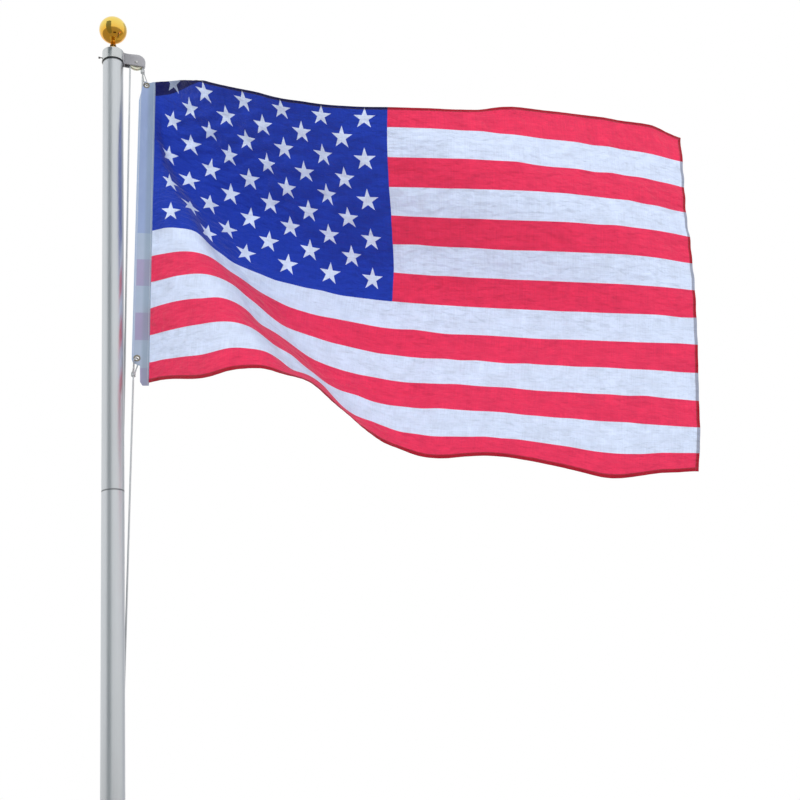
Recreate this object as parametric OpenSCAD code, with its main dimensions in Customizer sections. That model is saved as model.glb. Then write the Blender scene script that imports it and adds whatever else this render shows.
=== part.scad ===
// Sectional aluminium flagpole with a truck and sheave, a ball finial, a cleat,
// a halyard and a flag hoisted on it. The foot's centre on the ground is the origin,
// +Z is up, and the truck's arm and the flag point to +X.

/* [Pole] */
// Outside diameter of the tube
tube_d = 55; // [45:1:70]
// Thickness of the tube's wall
tube_wall = 1.2; // [0.8:0.1:3]
// Length of one section as it is cut
section_len = 1260; // [1050:10:1600]
// Length of the swaged end that enters the section above
spigot_len = 55; // [30:1:90]
// Gap between a swaged end and the bore around it
spigot_gap = 0.1; // [0.05:0.05:0.4]
// Depth of the plug in the foot
plug_len = 30; // [15:1:60]

/* [Truck] */
// Height of the truck's cap
cap_h = 35; // [30:1:50]
// Thickness of the cap's wall and top
cap_wall = 1.9; // [1.5:0.1:4]
// Thickness of the cap's roof
cap_roof = 4.5; // [3:0.5:8]
// How far the cap's rim stands out from its wall
rim_out = 1.0; // [0.5:0.1:3]
// Gap between the cap and the tube
cap_gap = 0.1; // [0.05:0.05:0.5]
// Distance from the pole's axis to the sheave's axle
axle_x = 63; // [60:1:75]
// Height of the axle above the cap's rim
axle_rise = 2; // [-3:0.5:5]
// Width across the arm's two cheeks
arm_w = 17; // [15:0.5:24]
// Thickness of the arm's cheeks and top
arm_wall = 2; // [1.5:0.1:3]
// Radius of the arm's nose about the axle
nose_r = 24.5; // [23.5:0.5:30]

/* [Sheave] */
// Diameter at the middle of the rope in the groove
pitch_d = 34; // [30:1:38]
// Outside diameter of the sheave
sheave_d = 39; // [38:0.5:44]
// Width of the sheave
sheave_w = 9.6; // [8:0.2:12]
// Diameter of the axle
axle_d = 6; // [4:0.5:8]
// Radial clearance of the sheave on its axle
axle_gap = 0.05; // [0.02:0.01:0.1]

/* [Finial] */
// Diameter of the ball
ball_d = 76; // [60:1:100]
// Thickness of the ball's spun shell
ball_wall = 1.2; // [0.8:0.1:3]
// Height of the neck from the cap's roof to the ball
neck_h = 34.5; // [25:1:60]
// Diameter of the neck at the ball
neck_d = 13; // [10:0.5:22]
// Diameter of the neck at its foot
neck_foot_d = 18; // [14:0.5:26]

/* [Halyard] */
// Diameter of the rope
rope_d = 4.5; // [3.5:0.1:5]
// Gap between the rope and pieces that move past it
rope_gap = 0.3; // [0.2:0.05:0.6]
// Radius of a knot
knot_r = 6; // [5.5:0.5:8]
// Height of the cleat's middle above the ground
cleat_z = 1400; // [1250:10:1500]
// Length of the cleat over its horns
cleat_len = 152; // [120:2:180]
// Thickness of the cleat's foot
cleat_foot_t = 6; // [4:0.5:10]
// Height of the horns' middle above the cleat's foot
horn_stand = 18; // [17:0.5:26]

/* [Snap hooks] */
// Thickness of a hook's wire
hook_wire = 3.4; // [3:0.2:5]
// Thickness of the gate's wire
gate_wire = 2.4; // [1.6:0.2:3]
// Radius of the hook's round end
hook_r = 9; // [8:0.5:12]
// Distance from the round end to the middle of the eye
hook_len = 45; // [40:1:60]

/* [Flag] */
// Height of the cloth at the hoist
hoist = 950; // [850:10:1000]
// Length of the flag with its header
fly = 1580; // [1400:10:1700]
// Height of the canvas header as it hangs, its top corner turned down
header_len = 900; // [850:5:960]
// Width of the canvas header
header_w = 44; // [38:1:52]
// Thickness of the header
header_t = 2.4; // [1.6:0.1:3]
// Thickness of the cloth with its hems
cloth_t = 2; // [1.6:0.1:3]
// Distance from the cap's rim down to the flag's head
head_drop = 54; // [46:1:120]
// Outside diameter of a grommet
grommet_d = 18; // [14:0.5:20]
// Hole through a grommet
grommet_hole = 10; // [9:0.5:12]

/* [Hidden] */

// Pole
tube_r = tube_d / 2;
bore_r = tube_r - tube_wall;
spigot_r = bore_r - spigot_gap;
pitch_z = section_len - spigot_len;
tube_top = 2 * pitch_z + section_len;
spigot_lead = 4;
facets = 96;

// Truck
rim_z = tube_top - (cap_h - cap_roof);
cap_bore_r = tube_r + cap_gap;
cap_r = cap_bore_r + cap_wall;
cap_top = rim_z + cap_h;
rim_h = 3.5;
shoulder = 4;
axle_z = rim_z + axle_rise;
arm_root = cap_bore_r;
arm_head = 29;
arm_foot = -5;
nose_foot = -12;
screw_z = rim_z + 14;
boss_r = 8.5;
boss_h = 3;
collar_h = 3.5;

// Rope on the sheave
pitch_r = pitch_d / 2;
rope_r = rope_d / 2;
back_x = axle_x - pitch_r;
hoist_x = axle_x + pitch_r;

// Cleat on the pole's back
base_w = 20;
neck_w = 13;
neck_l = 34;
horn_r = 7;
base_y = tube_r + cleat_foot_t;
horn_y = base_y + horn_stand;
turns_gap = 2.6;
turns_y = base_y + 1;
turns_t = 2 * rope_d;
turns_h = neck_l / 2 + turns_gap + rope_d;
cleat_screw_d = 5;
screw_head_d = 8.8;
cleat_hole_z = turns_h + screw_head_d / 2 + 2;
base_h = 2 * (cleat_hole_z + screw_head_d / 2 + 4);

// Snap hooks, turned so that the header passes between their sides
hook_eye_r = hook_wire / 2 + 2;
hook_turn = 52;
gate_foot = hook_r + 2;
gate_top = hook_len - hook_eye_r - 4;

// Flag, its knots and its snap hooks
head_z = rim_z - head_drop;
foot_z = head_z - header_len;
cloth_foot_z = foot_z + 15;
run_l = fly - header_w;
lean_top = 13;
lean_bottom = 12;
knot_top = [hoist_x, 0, rim_z - 23];
grommet_top_at = knot_top + hook_len * [sin(lean_top), 0, -cos(lean_top)];
knot_bottom = [50, 0, foot_z + 30];
grommet_bottom_at = knot_bottom + hook_len * [sin(lean_bottom), 0, cos(lean_bottom)];

// The halyard's pull leans the header in towards the pole at its foot
function luff(v) = 71 - 27 * v;

// Soft corners between two slopes
function soft_ramp(x, w) = w * ln(1 + exp(x / w));
function soft_min(a, b, w) = -w * ln(exp(-a / w) + exp(-b / w));

// Upper panel leans out from the hoist and ends in a flat run, s along the fly and t down
panel_out = 155;
panel_s = 0.38;
panel_t = 0.74;
panel_turn = 357;
function upper_panel(s, t) = soft_min(panel_s * s - panel_t * t + panel_out, panel_turn, 45);

// Lower panel leans out further along, past the valley
function lower_panel(s, t) = 0.4 * soft_ramp(s - 670, 60) - 11;

// Swell of the cloth below the valley, which leaves the hoist at valley_t
valley_t = 270;
valley_run = 1.43;
function swell(s, t) =
    let (span = max(30, (t - valley_t) * valley_run))
    let (q = min(1, s / span))
    0.24 * span * pow(max(0, sin(180 * pow(q, 0.66))), 1.8);

function cloth_y(s, t) =
    -(-soft_min(-upper_panel(s, t), -lower_panel(s, t), 25) + swell(s, t)) * (1 - exp(-s / 60));

// Lines down the cloth at the hoist, over the end of the canton and at the fly
canton_s = 614;
function hoist_line(v) =
    let (drop = v * (head_z - cloth_foot_z))
    [luff(drop / header_len) + header_w, head_z - drop];
function canton_line(v) = [580 - 29 * v + 64 * pow(sin(180 * v), 3),
    head_z - 287 - 642 * v - 88 / (1 + exp((0.68 - v) / 0.07))];
function fly_line(v) = [1483 - 131 * v * v, head_z - 329 - 922 * v];

// One point of the cloth, u along the fly and v down the hoist
function cloth(u, v) =
    let (s = run_l * u)
    let (k = s < canton_s ? s / canton_s : (s - canton_s) / (run_l - canton_s))
    let (xz = s < canton_s
        ? hoist_line(v) * (1 - k) + canton_line(v) * k
        : canton_line(v) * (1 - k) + fly_line(v) * k)
    [xz[0], cloth_y(s, hoist * v), xz[1]];

// A section of tube, with a swaged end above its shoulder when another section sits on it
module pole_section(z0, swaged) {
    full = swaged ? pitch_z : section_len;
    color("silver")
        rotate_extrude($fn = facets)
            translate([0, z0])
                polygon(swaged
                    ? [[bore_r, 0], [tube_r, 0], [tube_r, full], [spigot_r, full],
                        [spigot_r, section_len - spigot_lead], [spigot_r - 0.8, section_len],
                        [spigot_r - tube_wall - 0.8, section_len],
                        [spigot_r - tube_wall, section_len - spigot_lead],
                        [spigot_r - tube_wall, full - 6], [bore_r, full - 12]]
                    : [[bore_r, 0], [tube_r, 0], [tube_r, full], [bore_r, full]]);
}

module foot_plug() {
    color("dimgray")
        rotate_extrude($fn = facets)
            polygon([[0, 0], [bore_r, 0], [bore_r, plug_len], [bore_r - 3, plug_len],
                [bore_r - 3, 4], [0, 4]]);
}

// Cast cap that the tube's end seats in, with a rolled rim
module truck_cap() {
    color("gainsboro")
        rotate_extrude($fn = facets)
            translate([0, rim_z])
                polygon([[cap_bore_r, 0], [cap_r + rim_out, 0], [cap_r + rim_out, rim_h],
                    [cap_r, rim_h + rim_out], [cap_r, cap_h - shoulder],
                    for (a = [15:15:75]) [cap_r - shoulder + shoulder * cos(a),
                        cap_h - shoulder + shoulder * sin(a)],
                    [cap_r - shoulder, cap_h], [boss_r + 1, cap_h], [boss_r, cap_h + 1],
                    [boss_r, cap_h + boss_h], [0, cap_h + boss_h], [0, cap_h - cap_roof],
                    [cap_bore_r, cap_h - cap_roof]]);
}

// Side of the arm, x out from the pole and y up from the rim
module arm_side(inset) {
    r = nose_r - inset;
    root = arm_head - inset;
    polygon([[arm_root, arm_foot], [arm_root, root], [40, root - 1.5],
        for (a = [95:-10:-25]) [axle_x + r * cos(a), axle_rise + r * sin(a)],
        [axle_x + r * cos(35), nose_foot + inset * 0.5]]);
}

// Channel arm, open below, that carries the sheave between its cheeks
module truck_arm() {
    color("gainsboro")
        difference() {
            translate([0, arm_w / 2, rim_z])
                rotate([90, 0, 0])
                    linear_extrude(arm_w)
                        arm_side(0);
            translate([0, arm_w / 2 - arm_wall, rim_z])
                rotate([90, 0, 0])
                    linear_extrude(arm_w - 2 * arm_wall)
                        union() {
                            arm_side(arm_wall);
                            translate([arm_root - 1, -60])
                                square([axle_x, 60 + arm_foot + arm_wall]);
                        }
            translate([0, 0, rim_z - 60])
                cylinder(h = 60 + cap_h + 10, r = cap_r, $fn = facets);
            translate([0, 0, rim_z - 60])
                cylinder(h = 60 + rim_h + rim_out, r = cap_r + rim_out, $fn = facets);
            axle_hole(axle_d / 2);
        }
}

module axle_hole(r) {
    translate([axle_x, arm_w, axle_z])
        rotate([90, 0, 0])
            cylinder(h = 2 * arm_w, r = r, $fn = 48);
}

// Thumb screw that locks the cap on the tube
module truck_set_screw() {
    color("lightgray")
        translate([-cap_r, 0, screw_z])
            rotate([0, -90, 0])
                rotate_extrude($fn = 32)
                    polygon([[0, 0], [1.6, 0], [1.6, 5.5], [2.7, 6], [2.7, 9.5], [2, 10.5], [0, 10.5]]);
}

// Grooved nylon wheel
module sheave() {
    lip = 1.2;
    seat_r = rope_r + rope_gap;
    color("ivory")
        translate([axle_x, 0, axle_z])
            rotate([90, 0, 0])
                rotate_extrude($fn = facets)
                    polygon([[axle_d / 2 + axle_gap, -sheave_w / 2], [sheave_d / 2 - 0.5, -sheave_w / 2],
                        [sheave_d / 2, -sheave_w / 2 + 0.5], [sheave_d / 2, -sheave_w / 2 + lip],
                        for (a = [-80:16:80]) [pitch_r - seat_r * cos(a), seat_r * sin(a)],
                        [sheave_d / 2, sheave_w / 2 - lip], [sheave_d / 2, sheave_w / 2 - 0.5],
                        [sheave_d / 2 - 0.5, sheave_w / 2], [axle_d / 2 + axle_gap, sheave_w / 2]]);
}

// Riveted pin through the cheeks, with a low domed head on each side
module sheave_axle() {
    head_t = 1.8;
    color("silver")
        translate([axle_x, 0, axle_z])
            rotate([90, 0, 0])
                rotate_extrude($fn = 48)
                    polygon([[0, -arm_w / 2 - head_t], [3, -arm_w / 2 - head_t], [4.6, -arm_w / 2 - 0.7],
                        [4.6, -arm_w / 2], [axle_d / 2, -arm_w / 2], [axle_d / 2, arm_w / 2],
                        [4.6, arm_w / 2], [4.6, arm_w / 2 + 0.7], [3, arm_w / 2 + head_t],
                        [0, arm_w / 2 + head_t]]);
}

// Collar that the neck of the finial is screwed down on
module finial_collar() {
    color("dimgray")
        rotate_extrude($fn = 48)
            translate([0, cap_top + boss_h])
                square([neck_foot_d / 2 + 0.5, collar_h]);
}

module finial_neck() {
    neck_r = neck_d / 2;
    ball_r = ball_d / 2;
    seat = neck_h + ball_r - sqrt(ball_r * ball_r - neck_r * neck_r);
    foot = boss_h + collar_h;
    foot_r = neck_foot_d / 2;
    color("goldenrod")
        rotate_extrude($fn = 48)
            translate([0, cap_top])
                polygon([[0, foot], [foot_r, foot], [foot_r, foot + 3], [foot_r - 1.5, foot + 6],
                    [neck_r + 0.4, foot + 16], [neck_r, foot + 22], [neck_r, seat], [0, seat]]);
}

// Two spun halves joined into a hollow ball
module finial_ball() {
    color("gold")
        translate([0, 0, cap_top + neck_h + ball_d / 2])
            difference() {
                sphere(d = ball_d, $fn = facets);
                sphere(d = ball_d - 2 * ball_wall, $fn = facets);
                translate([0, 0, -ball_d])
                    cylinder(h = ball_d, r = neck_d / 2, $fn = 48);
            }
}

// Cast cleat, its foot hollowed to the tube
module cleat() {
    color("silver")
        difference() {
            union() {
                translate([-base_w / 2, tube_r - 2, cleat_z - base_h / 2])
                    cube([base_w, cleat_foot_t + 2, base_h]);
                translate([-neck_w / 2, base_y - 1, cleat_z - neck_l / 2])
                    cube([neck_w, horn_stand + 1, neck_l]);
                translate([0, horn_y, cleat_z])
                    rotate_extrude($fn = 48)
                        polygon([[0, -cleat_len / 2], [3, -cleat_len / 2 + 0.8], [5, -cleat_len / 2 + 4],
                            [horn_r, -neck_l / 2], [horn_r, neck_l / 2],
                            [5, cleat_len / 2 - 4], [3, cleat_len / 2 - 0.8], [0, cleat_len / 2]]);
            }
            translate([0, 0, cleat_z - base_h])
                cylinder(h = 2 * base_h, r = tube_r, $fn = facets);
            for (s = [-1, 1])
                translate([0, base_y + 20, cleat_z + s * cleat_hole_z])
                    rotate([90, 0, 0])
                        cylinder(h = 40, r = cleat_screw_d / 2, $fn = 32);
        }
}

// Pan-head screw, its shank through the cleat's foot and the tube's wall
module cleat_screw(z) {
    color("gray")
        translate([0, base_y, z])
            rotate([90, 0, 0])
                rotate_extrude($fn = 32)
                    polygon([[0, -3], [2.6, -3], [4.4, -1.8], [4.4, 0], [cleat_screw_d / 2, 0],
                        [cleat_screw_d / 2, cleat_foot_t - 0.4], [0, cleat_foot_t - 0.4]]);
}

module stadium(half_w, half_h) {
    union() {
        translate([-half_w, -(half_h - half_w)])
            square([2 * half_w, 2 * (half_h - half_w)]);
        for (s = [-1, 1])
            translate([0, s * (half_h - half_w)])
                circle(r = half_w, $fn = 48);
    }
}

// Turns of the halyard round the cleat's neck
module halyard_cleat_turns() {
    inner_w = neck_w / 2 + 2.6;
    inner_h = neck_l / 2 + 2.6;
    color("whitesmoke")
        translate([0, turns_y + turns_t, cleat_z])
            rotate([90, 0, 0])
                linear_extrude(turns_t)
                    difference() {
                        stadium(inner_w + rope_d, inner_h + rope_d);
                        stadium(inner_w, inner_h);
                    }
}

// Straight round length from one point to another
module straight(a, b, r) {
    d = b - a;
    len = norm(d);
    translate(a)
        rotate([0, acos(d[2] / len), atan2(d[1], d[0])])
            cylinder(h = len, r = r, $fn = 24);
}

module rope_run(a, b) {
    color("whitesmoke")
        straight(a, b, rope_r);
}

back_end = [4, turns_y + turns_t - rope_r, cleat_z + turns_h - 0.5];
lower_end = [9, turns_y + rope_r + 0.2, cleat_z + turns_h - 3];
lower_start = knot_bottom - [0, 0, knot_r + rope_gap];

module halyard_back_fall() {
    rope_run([back_x, 0, axle_z], back_end);
}

module halyard_over_sheave() {
    color("whitesmoke")
        translate([axle_x, 0, axle_z])
            rotate([90, 0, 0])
                rotate_extrude(angle = 180, $fn = facets)
                    translate([pitch_r, 0])
                        circle(r = rope_r, $fn = 24);
}

// Short run from the sheave to the knot, which pays out as the flag comes down
module halyard_hoist_fall() {
    rope_run([hoist_x, 0, axle_z], knot_top + [0, 0, knot_r + rope_gap]);
}

module halyard_lower_fall() {
    rope_run(lower_start, lower_end);
}

// Run between the two knots, behind the header
module halyard_along_hoist() {
    behind = header_t / 2 + rope_r + 1.5;
    rope_run(knot_top + [0, behind, -4], knot_bottom + [0.5, behind, 5]);
}

module knot(p) {
    color("dimgray")
        translate(p)
            sphere(r = knot_r, $fn = 32);
}

// Distance of the hook's side from its middle line, at a height between the end and the eye
function hook_side(z) = hook_r + (hook_eye_r - hook_r) * (z - hook_r) / (hook_len - hook_r);

// Pear shape grown by d from the middle line of the metal
module hook_outline(d) {
    translate([0, hook_r])
        circle(r = hook_r + d, $fn = 64);
    polygon([[-hook_r - d, hook_r], [hook_r + d, hook_r],
        [hook_eye_r + d, hook_len], [-hook_eye_r - d, hook_len]]);
}

// Pear-shaped cast hook, its round end at the bottom and its eye at the top
module snap_hook() {
    half = hook_wire / 2;
    color("silver")
        translate([0, half, 0])
            rotate([90, 0, 0])
                linear_extrude(hook_wire)
                    difference() {
                        union() {
                            hook_outline(half);
                            translate([0, hook_len])
                                circle(r = hook_eye_r + half, $fn = 48);
                        }
                        difference() {
                            hook_outline(-half);
                            translate([-hook_r, gate_top])
                                square([2 * hook_r, hook_len]);
                        }
                        translate([0, hook_len])
                            circle(r = hook_eye_r - half, $fn = 48);
                        translate([0, gate_foot])
                            square([hook_r + hook_wire, gate_top - gate_foot]);
                    }
}

// Sprung wire that closes the hook between its nose and its shoulder
module snap_gate() {
    foot = gate_foot + rope_gap;
    top = gate_top - rope_gap;
    color("gray")
        straight([hook_side(foot), 0, foot], [hook_side(top), 0, top], gate_wire / 2);
}

// A hook through a grommet leans to its knot, one side before the header and one behind
module at_top_grommet() {
    translate(grommet_top_at)
        rotate([0, -lean_top, 0])
            rotate([0, 0, hook_turn])
                children();
}

module at_bottom_grommet() {
    translate(grommet_bottom_at)
        rotate([0, 180 + lean_bottom, 0])
            rotate([0, 0, -hook_turn])
                children();
}

module grommet(p) {
    color("goldenrod")
        translate(p)
            rotate([90, 0, 0])
                difference() {
                    union() {
                        for (s = [-1, 1])
                            translate([0, 0, s * (header_t / 2 + 0.5) - 0.5])
                                cylinder(h = 1, r = grommet_d / 2, $fn = 48);
                        translate([0, 0, -header_t / 2])
                            cylinder(h = header_t, r = grommet_hole / 2 + 1, $fn = 48);
                    }
                    translate([0, 0, -header_t * 2])
                        cylinder(h = header_t * 4, r = grommet_hole / 2, $fn = 48);
                }
}

// Canvas strip folded over the hoist edge, its corners turned back at the hooks
module flag_header() {
    g = grommet_bottom_at;
    notch_x = g[0] + 7;
    notch_z = g[2] - 20;
    color("lavender")
        difference() {
            translate([0, header_t / 2, 0])
                rotate([90, 0, 0])
                    linear_extrude(header_t)
                        polygon([[luff(0) + 13, head_z], [luff(0) + header_w, head_z],
                            [luff(1) + header_w, foot_z], [notch_x + 6, foot_z],
                            [notch_x, foot_z + 10], [notch_x, notch_z],
                            [g[0] - 10, g[2] - 13], [luff(0.92), head_z - 0.92 * header_len],
                            [luff(0.07), head_z - 0.07 * header_len], [luff(0) + 8, head_z - 18]]);
            for (p = [grommet_top_at, g])
                translate([p[0], header_t, p[2]])
                    rotate([90, 0, 0])
                        cylinder(h = 2 * header_t, r = grommet_hole / 2 + 1, $fn = 48);
        }
}

// Cloth as one closed sheet, a front and a back grid sewn along the rim
module flag_cloth() {
    nu = 56;
    nv = 24;
    row = nv + 1;
    side = (nu + 1) * row;
    points = [for (k = [0, 1]) for (i = [0:nu]) for (j = [0:nv])
        cloth(i / nu, j / nv) + [0, (k - 0.5) * cloth_t, 0]];
    front = [for (i = [0:nu - 1]) for (j = [0:nv - 1]) each [
        [i * row + j, (i + 1) * row + j, i * row + j + 1],
        [(i + 1) * row + j, (i + 1) * row + j + 1, i * row + j + 1]]];
    back = [for (t = front) [t[0] + side, t[2] + side, t[1] + side]];
    rim = [for (i = [0:nu]) i * row, for (j = [1:nv]) nu * row + j,
        for (i = [nu - 1:-1:0]) i * row + nv, for (j = [nv - 1:-1:1]) j];
    m = len(rim);
    edge = [for (i = [0:m - 1]) each [
        [rim[i], rim[i] + side, rim[(i + 1) % m]],
        [rim[(i + 1) % m], rim[i] + side, rim[(i + 1) % m] + side]]];
    color("firebrick")
        polyhedron(points, concat(front, back, edge));
}

pole_section(0, true);  // pole_section_lower
pole_section(pitch_z, true);  // pole_section_middle
pole_section(2 * pitch_z, false);  // pole_section_upper
foot_plug();
truck_cap();
truck_arm();
truck_set_screw();
sheave();
sheave_axle();
finial_collar();
finial_neck();
finial_ball();
cleat();
cleat_screw(cleat_z + cleat_hole_z);  // cleat_screw_upper
cleat_screw(cleat_z - cleat_hole_z);  // cleat_screw_lower
halyard_cleat_turns();
halyard_back_fall();
halyard_over_sheave();
halyard_hoist_fall();
halyard_along_hoist();
halyard_lower_fall();
knot(knot_top);
knot(knot_bottom);
at_top_grommet() snap_hook();  // snap_hook_top
at_bottom_grommet() snap_hook();  // snap_hook_bottom
at_top_grommet() snap_gate();  // snap_gate_top
at_bottom_grommet() snap_gate();  // snap_gate_bottom
grommet(grommet_top_at);  // grommet_top
grommet(grommet_bottom_at);  // grommet_bottom
flag_header();
flag_cloth();
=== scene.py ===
from math import cos, pi, radians, sin

import bmesh
import bpy
import numpy as np
from mathutils import Matrix, Vector


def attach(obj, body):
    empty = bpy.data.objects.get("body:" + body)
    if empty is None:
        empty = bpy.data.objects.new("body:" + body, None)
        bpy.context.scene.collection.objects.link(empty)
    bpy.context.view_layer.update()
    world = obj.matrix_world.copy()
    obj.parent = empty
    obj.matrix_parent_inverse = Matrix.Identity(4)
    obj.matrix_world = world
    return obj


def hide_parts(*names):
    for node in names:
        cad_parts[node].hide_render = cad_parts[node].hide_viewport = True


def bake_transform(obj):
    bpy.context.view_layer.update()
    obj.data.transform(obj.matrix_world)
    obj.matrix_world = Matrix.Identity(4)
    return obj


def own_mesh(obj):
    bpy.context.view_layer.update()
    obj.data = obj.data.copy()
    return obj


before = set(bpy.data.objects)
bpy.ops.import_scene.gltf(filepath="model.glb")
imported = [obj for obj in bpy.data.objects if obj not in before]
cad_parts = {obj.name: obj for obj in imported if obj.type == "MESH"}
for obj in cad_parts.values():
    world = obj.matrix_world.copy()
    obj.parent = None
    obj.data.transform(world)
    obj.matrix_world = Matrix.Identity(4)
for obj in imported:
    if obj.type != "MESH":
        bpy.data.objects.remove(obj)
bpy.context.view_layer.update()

# ---------------------------------------------------------------------------
# Camera. A person's eye height, close to the pole and looking up at the flag,
# with the head held a little to one side.
eye = (0, -2.831, 1.635)
yaw, pitch, roll = radians(14.6), radians(19.09), radians(-4.84)
ahead = Vector((sin(yaw) * cos(pitch), cos(yaw) * cos(pitch), sin(pitch)))
level = Vector((cos(yaw), -sin(yaw), 0))
upright = level.cross(ahead)
side = cos(roll) * level + sin(roll) * upright
top = cos(roll) * upright - sin(roll) * level
lens = bpy.data.cameras.new("camera")
lens.lens, lens.sensor_width, lens.clip_end = 52.67, 36, 200
camera = bpy.data.objects.new("camera", lens)
camera.matrix_world = Matrix.Translation(eye) @ Matrix((side, top, -ahead)).transposed().to_4x4()
bpy.context.scene.collection.objects.link(camera)
bpy.context.scene.camera = camera

# ---------------------------------------------------------------------------
# Studio. A pale floor that goes over into a white surround, a big soft lamp on
# the left and a weaker one on the right, one behind the cloth, and dim glowing cards
# that only metal sees, which put painted dark reflections in it.
bpy.context.scene.view_settings.view_transform = "Standard"


def reckon(tree, operation, *values):
    """A Math node that works one operation on sockets or plain numbers."""
    step = tree.nodes.new("ShaderNodeMath")
    step.operation = operation
    for socket, value in zip(step.inputs, values):
        if isinstance(value, (int, float)):
            socket.default_value = value
        else:
            tree.links.new(value, socket)
    return step.outputs[0]


def seen_plainly(tree):
    """One for rays of the camera, of gloss and of transmission, none for the rest."""
    path = tree.nodes.new("ShaderNodeLightPath").outputs
    first = reckon(tree, "MAXIMUM", path["Is Camera Ray"], path["Is Glossy Ray"])
    return reckon(tree, "MAXIMUM", first, path["Is Transmission Ray"])


surround = bpy.data.worlds.new("surround")
bpy.context.scene.world = surround
surround.use_nodes = True
tree = surround.node_tree
room_light = 0.62
shown = seen_plainly(tree)
tree.nodes["Background"].inputs["Color"].default_value = (1, 1, 1, 1)
tree.links.new(reckon(tree, "MULTIPLY_ADD", shown, 1 - room_light, room_light),
               tree.nodes["Background"].inputs["Strength"])


def soft_lamp(name, at, towards, size, power):
    """A square area lamp that stands at one point and shines at another, and doesn't glare in metal."""
    light = bpy.data.lights.new(name, "AREA")
    light.size, light.energy = size, power
    lamp = bpy.data.objects.new(name, light)
    lamp.visible_glossy = False
    aim = (Vector(at) - Vector(towards)).to_track_quat("Z", "Y").to_matrix().to_4x4()
    lamp.matrix_world = Matrix.Translation(at) @ aim
    bpy.context.scene.collection.objects.link(lamp)


soft_lamp("key_lamp", (-2.6, -4.6, 6.2), (0.5, 0, 2.8), 3.0, 210)
soft_lamp("fill_lamp", (4.6, -3.6, 4.2), (0.5, 0, 2.8), 3.0, 70)
soft_lamp("back_lamp", (1.6, 5.0, 5.6), (0.8, 0, 3.0), 3.5, 280)


def studio_board(name, corners):
    """A flat stage piece from its corners, with a material of its own."""
    mesh = bpy.data.meshes.new(name)
    mesh.from_pydata(corners, [], [range(len(corners))])
    board = bpy.data.objects.new(name, mesh)
    bpy.context.scene.collection.objects.link(board)
    paint = bpy.data.materials.new(name)
    paint.use_nodes = True
    mesh.materials.append(paint)
    return board, paint.node_tree


def disc(radius, height):
    """The corners of a flat round board: radius * (cos a, sin a) at one height."""
    a = np.linspace(0, 2 * pi, 97)[:-1]
    return np.stack([radius * np.cos(a), radius * np.sin(a), 0 * a + height], -1).tolist()


floor_radius, floor_under = 14.0, 0.0005
_, tree = studio_board("floor", disc(floor_radius, -floor_under))
ground = tree.nodes["Principled BSDF"]
ground.inputs["Base Color"].default_value = (0.82, 0.82, 0.82, 1)
ground.inputs["Roughness"].default_value = 0.9
ground.inputs["Specular IOR Level"].default_value = 0.1
place = tree.nodes.new("ShaderNodeTexCoord").outputs["Object"]
reach = tree.nodes.new("ShaderNodeVectorMath")
reach.operation = "LENGTH"
tree.links.new(place, reach.inputs[0])
far_out = tree.nodes.new("ShaderNodeMapRange")
far_out.interpolation_type = "SMOOTHSTEP"
tree.links.new(reach.outputs["Value"], far_out.inputs["Value"])
far_out.inputs["From Min"].default_value, far_out.inputs["From Max"].default_value = 1.6, 7.0
glow = tree.nodes.new("ShaderNodeEmission")
over = tree.nodes.new("ShaderNodeMixShader")
tree.links.new(reckon(tree, "MULTIPLY", far_out.outputs["Result"], seen_plainly(tree)), over.inputs[0])
tree.links.new(ground.outputs[0], over.inputs[1])
tree.links.new(glow.outputs[0], over.inputs[2])
tree.links.new(over.outputs[0], tree.nodes["Material Output"].inputs["Surface"])


def dark_card(name, corners, shade):
    """A card that only glossy rays meet, glowing with a dim shade: a painted dark reflection in metal, in
    place of the white surround.
    """
    card, tree = studio_board(name, corners)
    dull = tree.nodes["Principled BSDF"].inputs
    dull["Base Color"].default_value = (0, 0, 0, 1)
    dull["Specular IOR Level"].default_value = 0
    dull["Emission Color"].default_value = (*shade, 1)
    dull["Emission Strength"].default_value = 1
    card.visible_camera = card.visible_diffuse = card.visible_shadow = card.visible_transmission = False


card_circle, card_top, ground_reach = 2.6, 6.6, 40


def standing_card(name, first, last, shade):
    """A tall dark card whose ends stand on a circle about the pole, from one bearing to another,
    in degrees from the front, left being less than 0."""
    a, b = ((card_circle * sin(radians(way)), -card_circle * cos(radians(way))) for way in (first, last))
    dark_card(name, [(*a, 0), (*b, 0), (*b, card_top), (*a, card_top)], shade)


# Painted reflections: the standing cards lay darker bands on the pole, the ground disc darkens what metal
# shows below the horizon, and the low card darkens the ball's lower middle.
standing_card("card_left", -57, -15, (0.24, 0.27, 0.28))
standing_card("card_right", 100, 140, (0.6, 0.61, 0.64))
dark_card("card_ground", disc(ground_reach, 0.002), (0.42, 0.4, 0.37))
dark_card("card_low", [(0.1, -2.2, 0.3), (1.5, -2.0, 0.3), (1.5, -2.2, 1.3), (0.1, -2.4, 1.3)],
          (0.07, 0.05, 0.04))

# ---------------------------------------------------------------------------
# Pole sections. Drawn aluminium tube, satin anodised. Each section but the top one
# ends in a swaged spigot, and the next one slides down over it onto the shoulder.
tube_r, tube_wall = 0.0275, 0.0012
section_len, spigot_len = 1.260, 0.055
bore_r = tube_r - tube_wall
spigot_r = bore_r - 0.0001
pitch_z = section_len - spigot_len
tube_top = 2 * pitch_z + section_len


def blended(tree, share, first, second):
    """A colour Mix node: the first colour where share is 0, the second where it is 1."""
    mix = tree.nodes.new("ShaderNodeMix")
    mix.data_type = "RGBA"
    for socket, value in zip((mix.inputs[0], mix.inputs[6], mix.inputs[7]), (share, first, second)):
        if isinstance(value, tuple):
            socket.default_value = (*value, 1)
        elif isinstance(value, (int, float)):
            socket.default_value = value
        else:
            tree.links.new(value, socket)
    return mix.outputs[2]


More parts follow.
